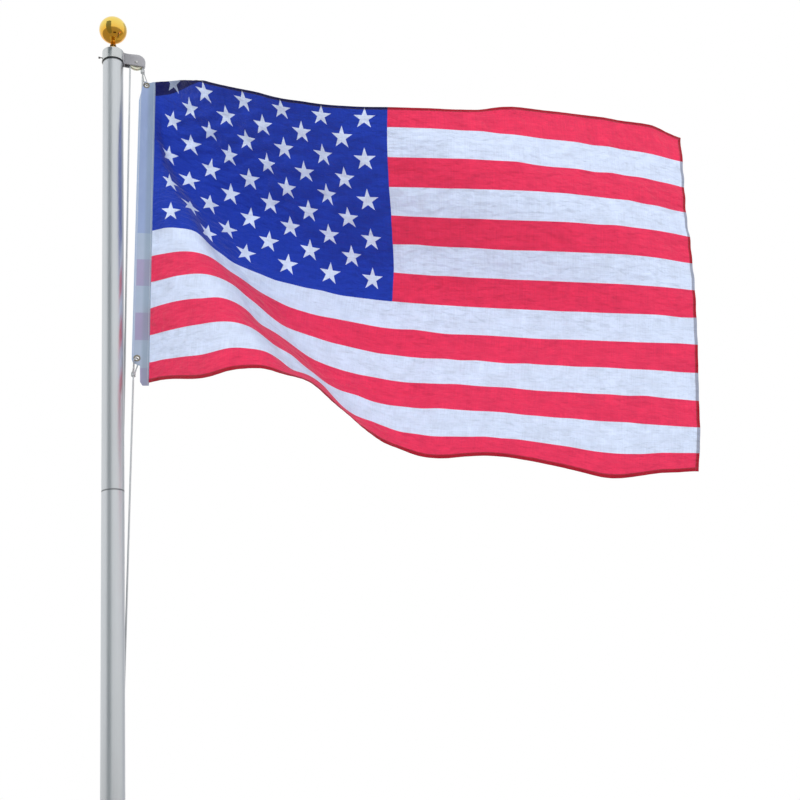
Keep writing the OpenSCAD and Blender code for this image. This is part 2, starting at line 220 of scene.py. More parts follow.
def grain(tree, scale, stretch=(1, 1, 1), detail=3.0, read="Object"):
    """Noise in the piece's own metres, stretched along its axes, from 0 to 1."""
    spread = tree.nodes.new("ShaderNodeMapping")
    spread.inputs["Scale"].default_value = stretch
    tree.links.new(tree.nodes.new("ShaderNodeTexCoord").outputs[read], spread.inputs["Vector"])
    noise = tree.nodes.new("ShaderNodeTexNoise")
    noise.inputs["Scale"].default_value = scale
    noise.inputs["Detail"].default_value = detail
    tree.links.new(spread.outputs[0], noise.inputs["Vector"])
    return noise.outputs["Fac"]


def eased_step(tree, value, low, high, start=0.0, end=1.0):
    """A Map Range node that goes smoothly from start at low to end at high."""
    step = tree.nodes.new("ShaderNodeMapRange")
    step.interpolation_type = "SMOOTHSTEP"
    tree.links.new(value, step.inputs["Value"])
    for name, number in (("From Min", low), ("From Max", high), ("To Min", start), ("To Max", end)):
        step.inputs[name].default_value = number
    return step.outputs["Result"]


def relief(tree, shader, height, depth, under=None):
    """A Bump node: height from 0 to 1 stands depth metres proud of the surface."""
    bump = tree.nodes.new("ShaderNodeBump")
    bump.inputs["Distance"].default_value = depth
    tree.links.new(height, bump.inputs["Height"])
    if under is not None:
        tree.links.new(under, bump.inputs["Normal"])
    if shader is not None:
        tree.links.new(bump.outputs[0], shader.inputs["Normal"])
    return bump.outputs[0]


def finish_of(name, colour, metallic=0.0, roughness=0.5, **sockets):
    """A material with its shader's even values set on their own sockets."""
    finish = bpy.data.materials.new(name)
    finish.use_nodes = True
    shader = finish.node_tree.nodes["Principled BSDF"]
    shader.inputs["Base Color"].default_value = (*colour, 1)
    shader.inputs["Metallic"].default_value = metallic
    shader.inputs["Roughness"].default_value = roughness
    for socket, value in sockets.items():
        shader.inputs[socket.replace("_", " ")].default_value = value
    return finish, finish.node_tree, shader


def two_tone(tree, shader, share, first, second):
    """The shader's colour: the first where share is 0, the second where it is 1."""
    tree.links.new(blended(tree, share, first, second), shader.inputs["Base Color"])


def uneven_gloss(tree, shader, value, low, high, smooth, rough):
    """The shader's roughness, which goes from smooth to rough as value goes from low to high."""
    tree.links.new(eased_step(tree, value, low, high, smooth, rough), shader.inputs["Roughness"])


def ways(tree, read="Object"):
    """The ways X, Y and Z across a piece's place, or across its own pattern, in metres."""
    split = tree.nodes.new("ShaderNodeSeparateXYZ")
    tree.links.new(tree.nodes.new("ShaderNodeTexCoord").outputs[read], split.inputs[0])
    return split.outputs


def apart(tree, value, middle):
    """How far a value is from a middle one, either way."""
    return reckon(tree, "ABSOLUTE", reckon(tree, "SUBTRACT", value, middle))


# Painted shade: a dark band under the truck's rim, at the top of the upper section, and thin dark bands at
# the seams between sections, where shadow falls.
satin_aluminium, tree, shader = finish_of("satin_aluminium", (0.6, 0.63, 0.66), 0.9, 0.34)
drawn = grain(tree, 300, (1, 1, 0.006), 2)
cloudy = grain(tree, 9, (1, 1, 0.25), 4)
tone = reckon(tree, "MULTIPLY_ADD", reckon(tree, "ADD", drawn, cloudy), 0.5, 0.0)
height = ways(tree)["Z"]
painted_rim_and_seam_shade = eased_step(tree, height, tube_top - 0.0375, tube_top - 0.0335, 0.0, 0.92)
from_seam = reckon(tree, "MINIMUM", *(apart(tree, height, seam) for seam in (pitch_z, 2 * pitch_z)))
painted_rim_and_seam_shade = reckon(tree, "MAXIMUM", painted_rim_and_seam_shade, eased_step(tree, from_seam, 0.0008, 0.0028, 0.66, 0.0))
bare = blended(tree, tone, (0.55, 0.58, 0.61), (0.66, 0.69, 0.715))
two_tone(tree, shader, painted_rim_and_seam_shade, bare, (0.05, 0.06, 0.065))
uneven_gloss(tree, shader, cloudy, 0.3, 0.7, 0.33, 0.42)
relief(tree, shader, drawn, 0.00002)


def grid_faces(rows, columns):
    """Four-cornered faces over a grid of rows by columns of points."""
    corner = (np.arange(rows - 1)[:, None] * columns + np.arange(columns - 1)).reshape(-1, 1)
    return corner + np.array([0, 1, columns + 1, columns])


def piece(name, shells, finish, body, nodes, crease=35.0):
    """One mesh from shells, each a grid of points (rows, columns, 3) with or without (rows,
    columns, 2) of its own pattern. Points that meet are merged, which closes seams and poles, and
    faces turn outwards."""
    points, faces, pattern, count, merged_within = [], [], [], 0, 2e-6
    for shell in shells:
        surface, flat = shell if isinstance(shell, tuple) else (shell, None)
        rows, columns = surface.shape[:2]
        points.append(surface.reshape(-1, 3))
        faces.append(grid_faces(rows, columns) + count)
        pattern.append(np.zeros((rows * columns, 2)) if flat is None else flat.reshape(-1, 2))
        count += rows * columns
    points, faces, pattern = np.concatenate(points), np.concatenate(faces), np.concatenate(pattern)
    mesh = bpy.data.meshes.new(name)
    mesh.from_pydata(points.tolist(), [], faces.tolist())
    mesh.uv_layers.new(name="pattern").data.foreach_set("uv", pattern[faces.ravel()].ravel())
    work = bmesh.new()
    work.from_mesh(mesh)
    bmesh.ops.remove_doubles(work, verts=work.verts, dist=merged_within)
    bmesh.ops.recalc_face_normals(work, faces=work.faces)
    work.to_mesh(mesh)
    work.free()
    mesh.shade_smooth()
    mesh.set_sharp_from_angle(angle=radians(crease))
    mesh.materials.append(finish)
    made = bpy.data.objects.new(name, mesh)
    bpy.context.scene.collection.objects.link(made)
    if body:
        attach(made, body)
    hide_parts(*nodes)
    return made


def eased(profile, ease):
    """A closed profile with each corner off the axis rounded: the corner becomes a curve
    from a point ease before it to a point ease after it, pulled towards the corner."""
    here = np.array(profile, float)
    before, after = np.roll(here, 1, 0) - here, np.roll(here, -1, 0) - here

    def reach(way):
        length = np.maximum(np.linalg.norm(way, axis=1), 1e-9)
        return way / length[:, None] * (np.minimum(ease, 0.45 * length) * (here[:, 0] > 1e-9))[:, None]

    t = np.linspace(0, 1, 5)[None, :, None]
    first, corner, last = ((here + way)[:, None] for way in (reach(before), 0, reach(after)))
    rounded = (1 - t) ** 2 * first + 2 * t * (1 - t) * corner + t ** 2 * last
    rounded = rounded.reshape(-1, 2)
    return np.concatenate([rounded, rounded[:1]])


def turned(profile, sides=96, axis="z", centre=(0, 0, 0), knurl=None):
    """A profile of (radius, height) carried round an axis: point = centre + radius * (cos a, sin a)
    across the axis + height along it. knurl(a, height) multiplies the radius."""
    a = np.linspace(0, 2 * pi, sides + 1)[None, :]
    r, h = profile[:, :1], profile[:, 1:]
    if knurl is not None:
        r = r * knurl(a, h)
    across, over, along = r * np.cos(a), r * np.sin(a), h + 0 * a
    order = {"z": (across, over, along), "y": (over, along, across), "x": (along, across, over)}[axis]
    return np.stack(order, -1) + np.array(centre)


def pole_section(name, z0, swaged):
    """The tube's wall as a closed profile of (radius, height), carried round the pole's axis."""
    full = pitch_z if swaged else section_len
    wall = [(bore_r, 0), (tube_r, 0), (tube_r, full)]
    if swaged:
        wall += [(spigot_r, full), (spigot_r, section_len - 0.004), (spigot_r - 0.0008, section_len),
                 (spigot_r - tube_wall - 0.0008, section_len), (spigot_r - tube_wall, section_len - 0.004),
                 (spigot_r - tube_wall, full - 0.006), (bore_r, full - 0.012)]
    else:
        wall += [(bore_r, full)]
    profile = eased(wall, 0.0009) + np.array([0, z0])
    piece(name + "_shown", [turned(profile, 128)], satin_aluminium, "pole", [name])


pole_section("pole_section_lower", 0.0, True)
pole_section("pole_section_middle", pitch_z, True)
pole_section("pole_section_upper", 2 * pitch_z, False)

# ---------------------------------------------------------------------------
# Foot plug. Black moulded plastic cup pressed into the bore at the pole's foot, which
# keeps the cut edge off the ground.
plug_len = 0.030
black_plastic, tree, shader = finish_of("black_plastic", (0.02, 0.021, 0.022), 0, 0.5)
mottle = grain(tree, 900, detail=2)
two_tone(tree, shader, mottle, (0.014, 0.015, 0.016), (0.035, 0.036, 0.038))
relief(tree, shader, mottle, 0.0001)
cup = [(0, 0), (bore_r, 0), (bore_r, plug_len), (bore_r - 0.003, plug_len), (bore_r - 0.003, 0.004),
       (0, 0.004)]
piece("foot_plug_shown", [turned(eased(cup, 0.0008), 96)], black_plastic, "pole",
      ["foot_plug"])

# ---------------------------------------------------------------------------
# Truck cap. Bright cast aluminium thimble over the tube's end, with a rolled rim at
# the bottom and a low boss on the roof, which the finial screws into.
cap_h, cap_roof, rim_h, rim_out = 0.035, 0.0045, 0.0035, 0.001
cap_bore_r = tube_r + 0.0001
cap_r = cap_bore_r + 0.0019
rim_z = tube_top - (cap_h - cap_roof)
boss_r, boss_h = 0.0085, 0.003
cast_bright, tree, shader = finish_of("cast_bright", (0.6, 0.62, 0.63), 1.0, 0.2)
swirl = grain(tree, 60, detail=4)
pits = grain(tree, 700, detail=2)
two_tone(tree, shader, swirl, (0.5, 0.53, 0.54), (0.68, 0.7, 0.7))
uneven_gloss(tree, shader, swirl, 0.35, 0.65, 0.16, 0.28)
relief(tree, shader, pits, 0.00004, relief(tree, None, swirl, 0.0004))
bend = np.radians(np.arange(10, 90, 10))
thimble = np.array([(0, cap_h - cap_roof), (cap_bore_r, cap_h - cap_roof), (cap_bore_r, 0),
                    (cap_r + rim_out, 0),
                    (cap_r + rim_out, rim_h), (cap_r, rim_h + rim_out), (cap_r, cap_h - 0.004)]
                   + np.stack([cap_r - 0.004 + 0.004 * np.cos(bend),
                               cap_h - 0.004 + 0.004 * np.sin(bend)], -1).tolist()
                   + [(cap_r - 0.004, cap_h), (boss_r + 0.001, cap_h), (boss_r, cap_h + 0.001),
                      (boss_r, cap_h + boss_h), (0, cap_h + boss_h)])
piece("truck_cap_shown", [turned(eased(thimble, 0.0006) + np.array([0, rim_z]), 128)], cast_bright,
      "pole", ["truck_cap"])

# ---------------------------------------------------------------------------
# Truck arm. One casting with the cap: a channel, open below, whose two cheeks carry
# the axle. The cheeks are left rough grey, their lower edges are lipped, and the root
# spreads into a narrow flange on the cap.
axle_x, axle_rise, arm_w, arm_wall, nose_r = 0.063, 0.002, 0.017, 0.002, 0.0245
axle_z = rim_z + axle_rise
cast_grey, tree, shader = finish_of("cast_grey", (0.42, 0.42, 0.45), 0.75, 0.45)
sand = grain(tree, 1100, detail=3)
blotch = grain(tree, 80, detail=3)
two_tone(tree, shader, blotch, (0.34, 0.34, 0.37), (0.5, 0.5, 0.53))
uneven_gloss(tree, shader, blotch, 0.3, 0.7, 0.4, 0.55)
relief(tree, shader, sand, 0.00015)
nose = np.radians(np.arange(95, -26, -6))
foot_of_nose = (axle_x + nose_r * cos(radians(35)), -0.012)
cheek = np.array([(cap_r + 0.0004, -0.005), (cap_r + 0.0004, 0.029), (0.040, 0.0275)]
                 + np.stack([axle_x + nose_r * np.cos(nose), axle_rise + nose_r * np.sin(nose)],
                            -1).tolist()
                 + [foot_of_nose])


def plate(outline, ease, low, high):
    """A closed outline in x and z, thickened along y from low to high: rings of the outline, drawn in
    by ease at both faces, each face closed onto the outline's middle."""
    ring = np.concatenate([outline, outline[:1]])
    middle = outline.mean(0)
    ahead_of = np.roll(outline, -1, 0) - np.roll(outline, 1, 0)
    inward = np.stack([ahead_of[:, 1], -ahead_of[:, 0]], -1)
    inward /= np.linalg.norm(inward, axis=1)[:, None]
    inward *= np.sign(((middle - outline) * inward).sum(1))[:, None]
    inward = np.concatenate([inward, inward[:1]])
    rows = []
    for draw, y in ((None, low), (1.0, low), (0.3, low + 0.3 * ease), (0, low + ease),
                    (0, high - ease), (0.3, high - 0.3 * ease), (1.0, high), (None, high)):
        flat = 0 * ring + middle if draw is None else ring + inward * draw * ease
        rows.append(np.stack([flat[:, 0], 0 * flat[:, 0] + y, flat[:, 1] + rim_z], -1))
    return np.stack(rows)


def frames_along(path, upward=(0, 1, 0)):
    """Two directions across a path at each of its points: one square to the path and to upward, one
    square to both."""
    along = np.gradient(path, axis=0)
    along /= np.linalg.norm(along, axis=1)[:, None]
    across = np.cross(np.array(upward, float), along)
    across /= np.linalg.norm(across, axis=1)[:, None]
    return across, np.cross(along, across)


def carried(path, section, upward=(0, 1, 0)):
    """A closed section of (across, over) carried along a path, its ends drawn to a point so that
    they are closed."""
    path = np.asarray(path, float)
    across, over = frames_along(path, upward)
    grow = np.ones(len(path) + 2)
    grow[[0, -1]] = 0
    path, across, over = (np.concatenate([a[:1], a, a[-1:]]) for a in (path, across, over))
    section = np.concatenate([section, section[:1]]) * 1.0
    return path[:, None] + grow[:, None,
                                None] * (section[None, :, :1] * across[:, None]
                                         + section[None, :, 1:] * over[:, None])


half = arm_w / 2
web_edge = np.array([(0.0302, 0.028), (0.040, 0.0265)]
                    + np.stack([axle_x + (nose_r - 0.001) * np.cos(nose),
                                axle_rise + (nose_r - 0.001) * np.sin(nose)], -1).tolist()
                    + [(foot_of_nose[0] - 0.001, foot_of_nose[1] + 0.001)])
web_path = np.stack([web_edge[:, 0], 0 * web_edge[:, 0], web_edge[:, 1] + rim_z], -1)
web = carried(web_path,
              np.array([(-0.00095, -half + 0.001), (0.00095, -half + 0.001),
                        (0.00095, half - 0.001), (-0.00095, half - 0.001)]))
lip_turn = np.linspace(0, 2 * pi, 13)[:-1]
lip_line = np.linspace((cap_r + 0.001, -0.0048), (foot_of_nose[0] - 0.001, foot_of_nose[1] + 0.0005), 14)
lips = [carried(np.stack([lip_line[:, 0], 0 * lip_line[:, 0] + s * (half - 0.0006),
                          lip_line[:, 1] + rim_z], -1),
                np.stack([0.0014 * np.cos(lip_turn), 0.0019 * np.sin(lip_turn)], -1)) for s in (-1, 1)]
around = np.linspace(0, 2 * pi, 41)[:-1]
flange_shape = np.stack([0.0128 * np.sign(np.cos(around)) * np.abs(np.cos(around)) ** 0.45,
                         0.012 + 0.0185 * np.sign(np.sin(around)) * np.abs(np.sin(around)) ** 0.35], -1)


def saddle(shape, inner, outer):
    """A rounded outline of (y, z) wrapped on the cap: at each y its two faces lie on circles about
    the pole."""
    ring = np.concatenate([shape, shape[:1]])
    rows = []
    for draw, r in ((0, inner), (1, inner), (1, outer - 0.0006), (0.94, outer), (0, outer)):
        y, z = ring[:, 0] * draw, (ring[:, 1] - 0.012) * draw + 0.012
        rows.append(np.stack([np.sqrt(r ** 2 - y ** 2), y, z + rim_z], -1))
    return np.stack(rows)


flange = saddle(flange_shape, cap_r - 0.0003, cap_r + 0.0026)
piece("truck_arm_shown", [plate(cheek, 0.0005, -half, -half + arm_wall),
                          plate(cheek, 0.0005, half - arm_wall, half), web, flange] + lips,
      cast_grey, "pole", ["truck_arm"])

# ---------------------------------------------------------------------------
# Set screw. A small steel thumb screw through the cap's wall on the side away from the
# arm, with a knurled head, which locks the truck on the tube.
screw_z = rim_z + 0.014
screw_steel, tree, shader = finish_of("screw_steel", (0.2, 0.2, 0.2), 1.0, 0.35)
worn = grain(tree, 500, detail=3)
two_tone(tree, shader, worn, (0.1, 0.1, 0.1), (0.4, 0.4, 0.39))
relief(tree, shader, worn, 0.00006)
shank = [(0, 0), (0.0016, 0), (0.0016, 0.0055), (0.0027, 0.006), (0.0027, 0.0095), (0.002, 0.0105),
         (0, 0.0105)]
screw = turned(eased(shank, 0.0003) * np.array([1, -1]), 96, "x", (-cap_r + 0.0004, 0, screw_z),
               lambda a, h: 1 + 0.05 * np.cos(24 * a) * (h < -0.0057))
piece("truck_set_screw_shown", [screw], screw_steel, "pole", ["truck_set_screw"])

# ---------------------------------------------------------------------------
# Sheave. Grooved wheel turned from a bar of ivory nylon, which leaves fine rings on its
# sides, and greyed in the groove by the rope.
pitch_r, rope_r = 0.017, 0.00225
sheave_r, sheave_w, lip = 0.0195, 0.0096, 0.0012
nylon, tree, shader = finish_of("nylon", (0.62, 0.62, 0.48), 0, 0.42, Subsurface_Weight=0.05,
                                Subsurface_Scale=0.003)
reach = tree.nodes.new("ShaderNodeVectorMath")
reach.operation = "DISTANCE"
flat_place = tree.nodes.new("ShaderNodeVectorMath")
flat_place.operation = "MULTIPLY"
flat_place.inputs[1].default_value = (1, 0, 1)
tree.links.new(tree.nodes.new("ShaderNodeTexCoord").outputs["Object"], flat_place.inputs[0])
tree.links.new(flat_place.outputs[0], reach.inputs[0])
reach.inputs[1].default_value = (axle_x, 0, axle_z)
tools = reckon(tree, "SINE", reckon(tree, "MULTIPLY", reach.outputs["Value"], 2 * pi / 0.0006))
rubbed = eased_step(tree, reach.outputs["Value"], 0.0145, 0.0178, 0.6, 0.0)
two_tone(tree, shader, reckon(tree, "MULTIPLY", rubbed, grain(tree, 250)), (0.66, 0.66, 0.52),
         (0.25, 0.25, 0.2))
relief(tree, shader, tools, 0.00003)
seat_r = rope_r + 0.0003
dip = np.radians(np.arange(-80, 81, 10))
wheel = np.array([(0.00305, -sheave_w / 2), (0.0095, -sheave_w / 2),
                  (0.0102, -sheave_w / 2 + 0.0009), (0.0150, -sheave_w / 2 + 0.0009),
                  (0.0157, -sheave_w / 2), (sheave_r, -sheave_w / 2), (sheave_r, -sheave_w / 2 + lip)]
                 + np.stack([pitch_r - seat_r * np.cos(dip), seat_r * np.sin(dip)], -1).tolist()
                 + [(sheave_r, sheave_w / 2 - lip), (sheave_r, sheave_w / 2),
                    (0.0157, sheave_w / 2), (0.0150, sheave_w / 2 - 0.0009),
                    (0.0102, sheave_w / 2 - 0.0009), (0.0095, sheave_w / 2), (0.00305, sheave_w / 2)])
piece("sheave_shown", [turned(eased(wheel, 0.0004), 96, "y", (axle_x, 0, axle_z))], nylon, "sheave",
      ["sheave"])

# ---------------------------------------------------------------------------
# Sheave axle. Bright steel pin through both cheeks of the arm, riveted over to a low
# dome at each end.
bright_steel, tree, shader = finish_of("bright_steel", (0.55, 0.55, 0.56), 1.0, 0.18)
scuff = grain(tree, 900, detail=2)
uneven_gloss(tree, shader, scuff, 0.3, 0.7, 0.12, 0.3)
relief(tree, shader, scuff, 0.00003)
dome = np.radians(np.arange(0, 91, 15))
rise = np.stack([0.0046 * np.cos(dome), half + 0.0004 + 0.0014 * np.sin(dome)], -1)
pin = np.concatenate([[(0.003, -half), (0.003, half), (0.0046, half)], rise[:-1],
                      [(0, half + 0.0018), (0, -half - 0.0018)],
                      (rise[:-1] * np.array([1, -1]))[::-1], [(0.0046, -half)]])
piece("sheave_axle_shown", [turned(np.concatenate([pin, pin[:1]]), 48, "y", (axle_x, 0, axle_z))],
      bright_steel, "pole", ["sheave_axle"])

# ---------------------------------------------------------------------------
# Finial. A gilt ball of two spun halves, soldered round the middle, on a flared neck
# with a bead coloured near black, which screws down on a dark rubber washer over the cap's boss.
cap_top = rim_z + cap_h
collar_h, neck_h, ball_r, neck_r, foot_r = 0.0035, 0.0345, 0.038, 0.0065, 0.009
dark_rubber, tree, shader = finish_of("dark_rubber", (0.02, 0.018, 0.017), 0, 0.6)
dusty = grain(tree, 600, detail=3)
two_tone(tree, shader, dusty, (0.012, 0.011, 0.01), (0.05, 0.045, 0.04))
relief(tree, shader, dusty, 0.00008)
washer = [(0.003, boss_h), (foot_r + 0.0005, boss_h), (foot_r + 0.0005, boss_h + collar_h),
          (0.003, boss_h + collar_h)]
piece("finial_collar_shown", [turned(eased(washer, 0.0009) + np.array([0, cap_top]), 64)],
      dark_rubber, "pole", ["finial_collar"])

gilt, tree, shader = finish_of("gilt", (0.88, 0.6, 0.1), 1.0, 0.09, Coat_Weight=0.25, Coat_Roughness=0.04)
lacquer = grain(tree, 45, detail=3)
height = ways(tree)["Z"]
ring_low, ring_high, ring_bleed = 0.0162, 0.0194, 0.0002
# Painted reflection: the gilt turns a darker amber over the neck and the ball's lower half, fading to bright
# gilt above the middle, in place of the darker ground it would reflect.
cloudy_height = reckon(tree, "ADD", height, reckon(tree, "MULTIPLY", lacquer, 0.012))
painted_reflection_fade = eased_step(tree, cloudy_height, cap_top + 0.050, cap_top + 0.092)
bright_gilt = blended(tree, lacquer, (0.9, 0.62, 0.1), (0.86, 0.7, 0.18))
# The bead on the neck is coloured near black.
from_ring = apart(tree, height, cap_top + (ring_low + ring_high) / 2)
in_ring = reckon(tree, "LESS_THAN", from_ring, (ring_high - ring_low) / 2 + ring_bleed)
two_tone(tree, shader, in_ring, blended(tree, painted_reflection_fade, (0.84, 0.42, 0.035), bright_gilt), (0.03, 0.018, 0.012))
uneven_gloss(tree, shader, lacquer, 0.35, 0.7, 0.06, 0.14)
relief(tree, shader, lacquer, 0.0003)
foot = boss_h + collar_h
flare = np.linspace(0, 1, 10)[:, None]
swell_r = neck_r + (foot_r - neck_r) * (1 - flare) ** 1.6
seat = neck_h + ball_r - (ball_r ** 2 - neck_r ** 2) ** 0.5 + 0.0006
stem_r = neck_r + 0.0012
beaded = [(0, foot), (foot_r, foot), (foot_r, foot + 0.002), (stem_r, foot + 0.0035),
          (stem_r, ring_low), (foot_r, ring_low), (foot_r, ring_high)]
swell = np.concatenate([swell_r, ring_high + 0.0006 + flare * 0.0115], 1)
neck = np.concatenate([beaded, swell, [(neck_r, seat - 0.0012), (neck_r + 0.0008, seat), (0, seat)]])
piece("finial_neck_shown", [turned(eased(neck, 0.0005) + np.array([0, cap_top]), 64)], gilt, "pole",
      ["finial_neck"])

latitude = np.linspace(-pi / 2, pi / 2, 97)
joint_dent = 1 - 0.006 * np.exp(-((ball_r * latitude) / 0.0005) ** 2)
ball = np.stack([np.abs(ball_r * np.cos(latitude) * joint_dent),
                 ball_r * np.sin(latitude) + cap_top + neck_h + ball_r], -1)
ball[[0, -1], 0] = 0
piece("finial_ball_shown", [turned(ball, 128)], gilt, "pole", ["finial_ball"])

# ---------------------------------------------------------------------------
# Cleat. Cast aluminium horn cleat on the back of the pole, its foot hollowed to the
# tube, held by two pan-head screws.
cleat_z, cleat_len, horn_stand = 1.400, 0.152, 0.018
base_y = tube_r + 0.006
horn_y = base_y + horn_stand
base_w, base_h, neck_w, neck_l, horn_r = 0.020, 0.0778, 0.013, 0.034, 0.007
cast_satin, tree, shader = finish_of("cast_satin", (0.5, 0.51, 0.52), 0.9, 0.42)
rough_skin = grain(tree, 500, detail=4)
two_tone(tree, shader, grain(tree, 70), (0.4, 0.41, 0.42), (0.58, 0.59, 0.6))
relief(tree, shader, rough_skin, 0.00015)
around = np.linspace(0, 2 * pi, 65)


def rounded_box(width, height, squareness):
    """Points round a box with soft corners: each coordinate is a cosine or sine raised to
    squareness, its sign kept."""
    c, s = np.cos(around), np.sin(around)
    return width / 2 * np.sign(c) * np.abs(c) ** squareness, height / 2 * np.sign(s) * np.abs(s) ** squareness


x, z = rounded_box(base_w, base_h, 0.35)
foot_rows = [np.stack([x * draw, np.sqrt(tube_r ** 2 - (x * draw) ** 2) if y is None else y + 0 * x,
                       z * draw + cleat_z], -1)
             for draw, y in ((0, None), (1, None), (1, base_y - 0.0012), (0.985, base_y - 0.0003),
                             (0.95, base_y), (0, base_y))]
x, z = rounded_box(neck_w, neck_l, 0.6)
neck_rows = []
for w in np.linspace(0, 1, 12):
    spread = (2 * w - 1) ** 4
    rise = base_y - 0.001 + w * (horn_stand + 0.001)
    neck_rows.append(np.stack([x * (1 + 0.25 * spread), 0 * x + rise,
                               z * (1 + 0.18 * spread) + cleat_z], -1))
ends = [row * np.array([0, 1, 0]) + np.array([0, 0, cleat_z]) for row in (neck_rows[0], neck_rows[-1])]
neck_rows = [ends[0], *neck_rows, ends[1]]
along = np.sin(np.linspace(-pi / 2, pi / 2, 49))[:, None]
thick = (horn_r - 0.0026 * np.abs(along) ** 1.5) * np.sqrt(np.maximum(0, 1 - np.abs(along) ** 9))
horn = np.stack([thick * np.cos(around),
                 thick * np.sin(around) * 0.9 + horn_y + 0.0012 * along ** 4,
                 along * cleat_len / 2 + cleat_z + 0 * around], -1)
piece("cleat_shown", [np.stack(foot_rows), np.stack(neck_rows), horn], cast_satin, "pole",
      ["cleat"])

hole_z = 0.0305
for name, s in (("cleat_screw_upper", 1), ("cleat_screw_lower", -1)):
    pan = [(0, -0.006), (0.0025, -0.006), (0.0025, 0), (0.0044, 0), (0.0044, 0.0016),
           (0.0032, 0.0029), (0.0009, 0.003), (0.0009, 0.0018), (0, 0.0018)]
    piece(name + "_shown", [turned(eased(pan, 0.0004), 48, "y", (0, base_y, cleat_z + s * hole_z))],
          bright_steel, "pole", [name])

# ---------------------------------------------------------------------------
# Halyard. Braided polyester rope, one loop from the flag's upper knot over the sheave,
# down behind the arm to the cleat, round it and up to the lower knot, with a run
# between the knots. It is kept taut.
braided, tree, shader = finish_of("braided", (0.62, 0.65, 0.68), 0, 0.7, Sheen_Weight=0.2)
plait_len, plait_turns = 0.0075, 4
along_rope, round_rope = ways(tree, "UV")[:2]
run_on = reckon(tree, "MULTIPLY", along_rope, 2 * pi / plait_len)
strands = reckon(tree, "MULTIPLY", round_rope, 2 * pi * plait_turns)
left_lay = reckon(tree, "SINE", reckon(tree, "ADD", run_on, strands))
right_lay = reckon(tree, "SINE", reckon(tree, "SUBTRACT", run_on, strands))
plait = reckon(tree, "MULTIPLY_ADD", reckon(tree, "MAXIMUM", left_lay, right_lay), 0.5, 0.5)
soiled = grain(tree, 30, detail=4)
worn_rope = blended(tree, soiled, (0.52, 0.56, 0.58), (0.72, 0.74, 0.76))
# Painted shade: the braid is coloured darker where its relief dips between the strands.
two_tone(tree, shader, reckon(tree, "MULTIPLY", plait, 0.75), (0.33, 0.36, 0.38), worn_rope)
relief(tree, shader, plait, 0.0004)


def rope(path, radius=rope_r, sides=20):
    """A round section carried along a path, its ends drawn in to a point. The pattern is metres
    along and turns round."""
    path = np.asarray(path, float)
    a = np.linspace(0, 2 * pi, sides + 1)
    across, over = frames_along(path)
    went = np.concatenate([[0], np.cumsum(np.linalg.norm(np.diff(path, axis=0), axis=1))])
    grow = np.concatenate([[0, 0.8], np.ones(len(path) - 2), [0.8, 0]]) * radius
    pick = np.concatenate([[0], np.arange(len(path)), [len(path) - 1]])
    outwards = (np.cos(a)[None, :, None] * across[pick][:, None]
                + np.sin(a)[None, :, None] * over[pick][:, None])
    tube = path[pick][:, None] + grow[:, None, None] * outwards
    return tube, np.stack(np.broadcast_arrays(went[pick][:, None], a[None, :] / (2 * pi)), -1)


def straight(a, b, count):
    """Points on the line from a to b."""
    return np.linspace(np.array(a, float), np.array(b, float), count)


back_x, hoist_x = axle_x - pitch_r, axle_x + pitch_r
head_z, header_len = rim_z - 0.054, 0.900
foot_z = head_z - header_len
knot_top = np.array([hoist_x, 0, rim_z - 0.023])
knot_bottom = np.array([0.050, 0, foot_z + 0.030])
knot_r, rope_gap = 0.006, 0.0003
turns_y, turns_h = base_y + 0.001, neck_l / 2 + 0.0026 + 2 * rope_r
back_end = (0.004, turns_y + 3 * rope_r, cleat_z + turns_h - 0.0005)
lower_end = (0.009, turns_y + rope_r + 0.0002, cleat_z + turns_h - 0.003)
lower_start = knot_bottom - np.array([0, 0, knot_r + rope_gap])
hoist_end = knot_top + np.array([0, 0, knot_r + rope_gap])

piece("halyard_back_fall_shown", [rope(straight((back_x, 0, axle_z), back_end, 90))], braided,
      "pole", ["halyard_back_fall"])
bow = np.linspace(pi, 0, 49)
over_path = np.stack([axle_x + pitch_r * np.cos(bow), 0 * bow, axle_z + pitch_r * np.sin(bow)], -1)
piece("halyard_over_sheave_shown", [rope(over_path)], braided, "pole",
      ["halyard_over_sheave"])
hoist_fall = piece("halyard_hoist_fall_shown",
                   [rope(straight((hoist_x, 0, axle_z), hoist_end, 61))], braided, None,
                   ["halyard_hoist_fall"])
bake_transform(hoist_fall)
lower_fall = piece("halyard_lower_fall_shown", [rope(straight(lower_start, lower_end, 60))],
                   braided, "pole", ["halyard_lower_fall"])
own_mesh(lower_fall)
behind = 0.0012 + rope_r + 0.0015
piece("halyard_along_hoist_shown",
      [rope(straight(knot_top + np.array([0, behind, -0.004]),
                     knot_bottom + np.array([0.0005, behind, 0.005]), 60))],
      braided, "flag", ["halyard_along_hoist"])

wound, oval_h = np.linspace(0.35, 0.35 + 4 * pi, 181), 0.01135
turns_path = np.stack([(neck_w / 2 + 0.0026 + rope_r) * np.cos(wound),
                       turns_y + rope_r + 2 * rope_r * (wound - wound[0]) / (wound[-1] - wound[0]),
                       cleat_z + oval_h * np.sin(wound) + (turns_h - rope_r
                                                           - oval_h) * np.tanh(4 * np.sin(wound))], -1)
piece("halyard_cleat_turns_shown", [rope(turns_path)], braided, "pole",
      ["halyard_cleat_turns"])

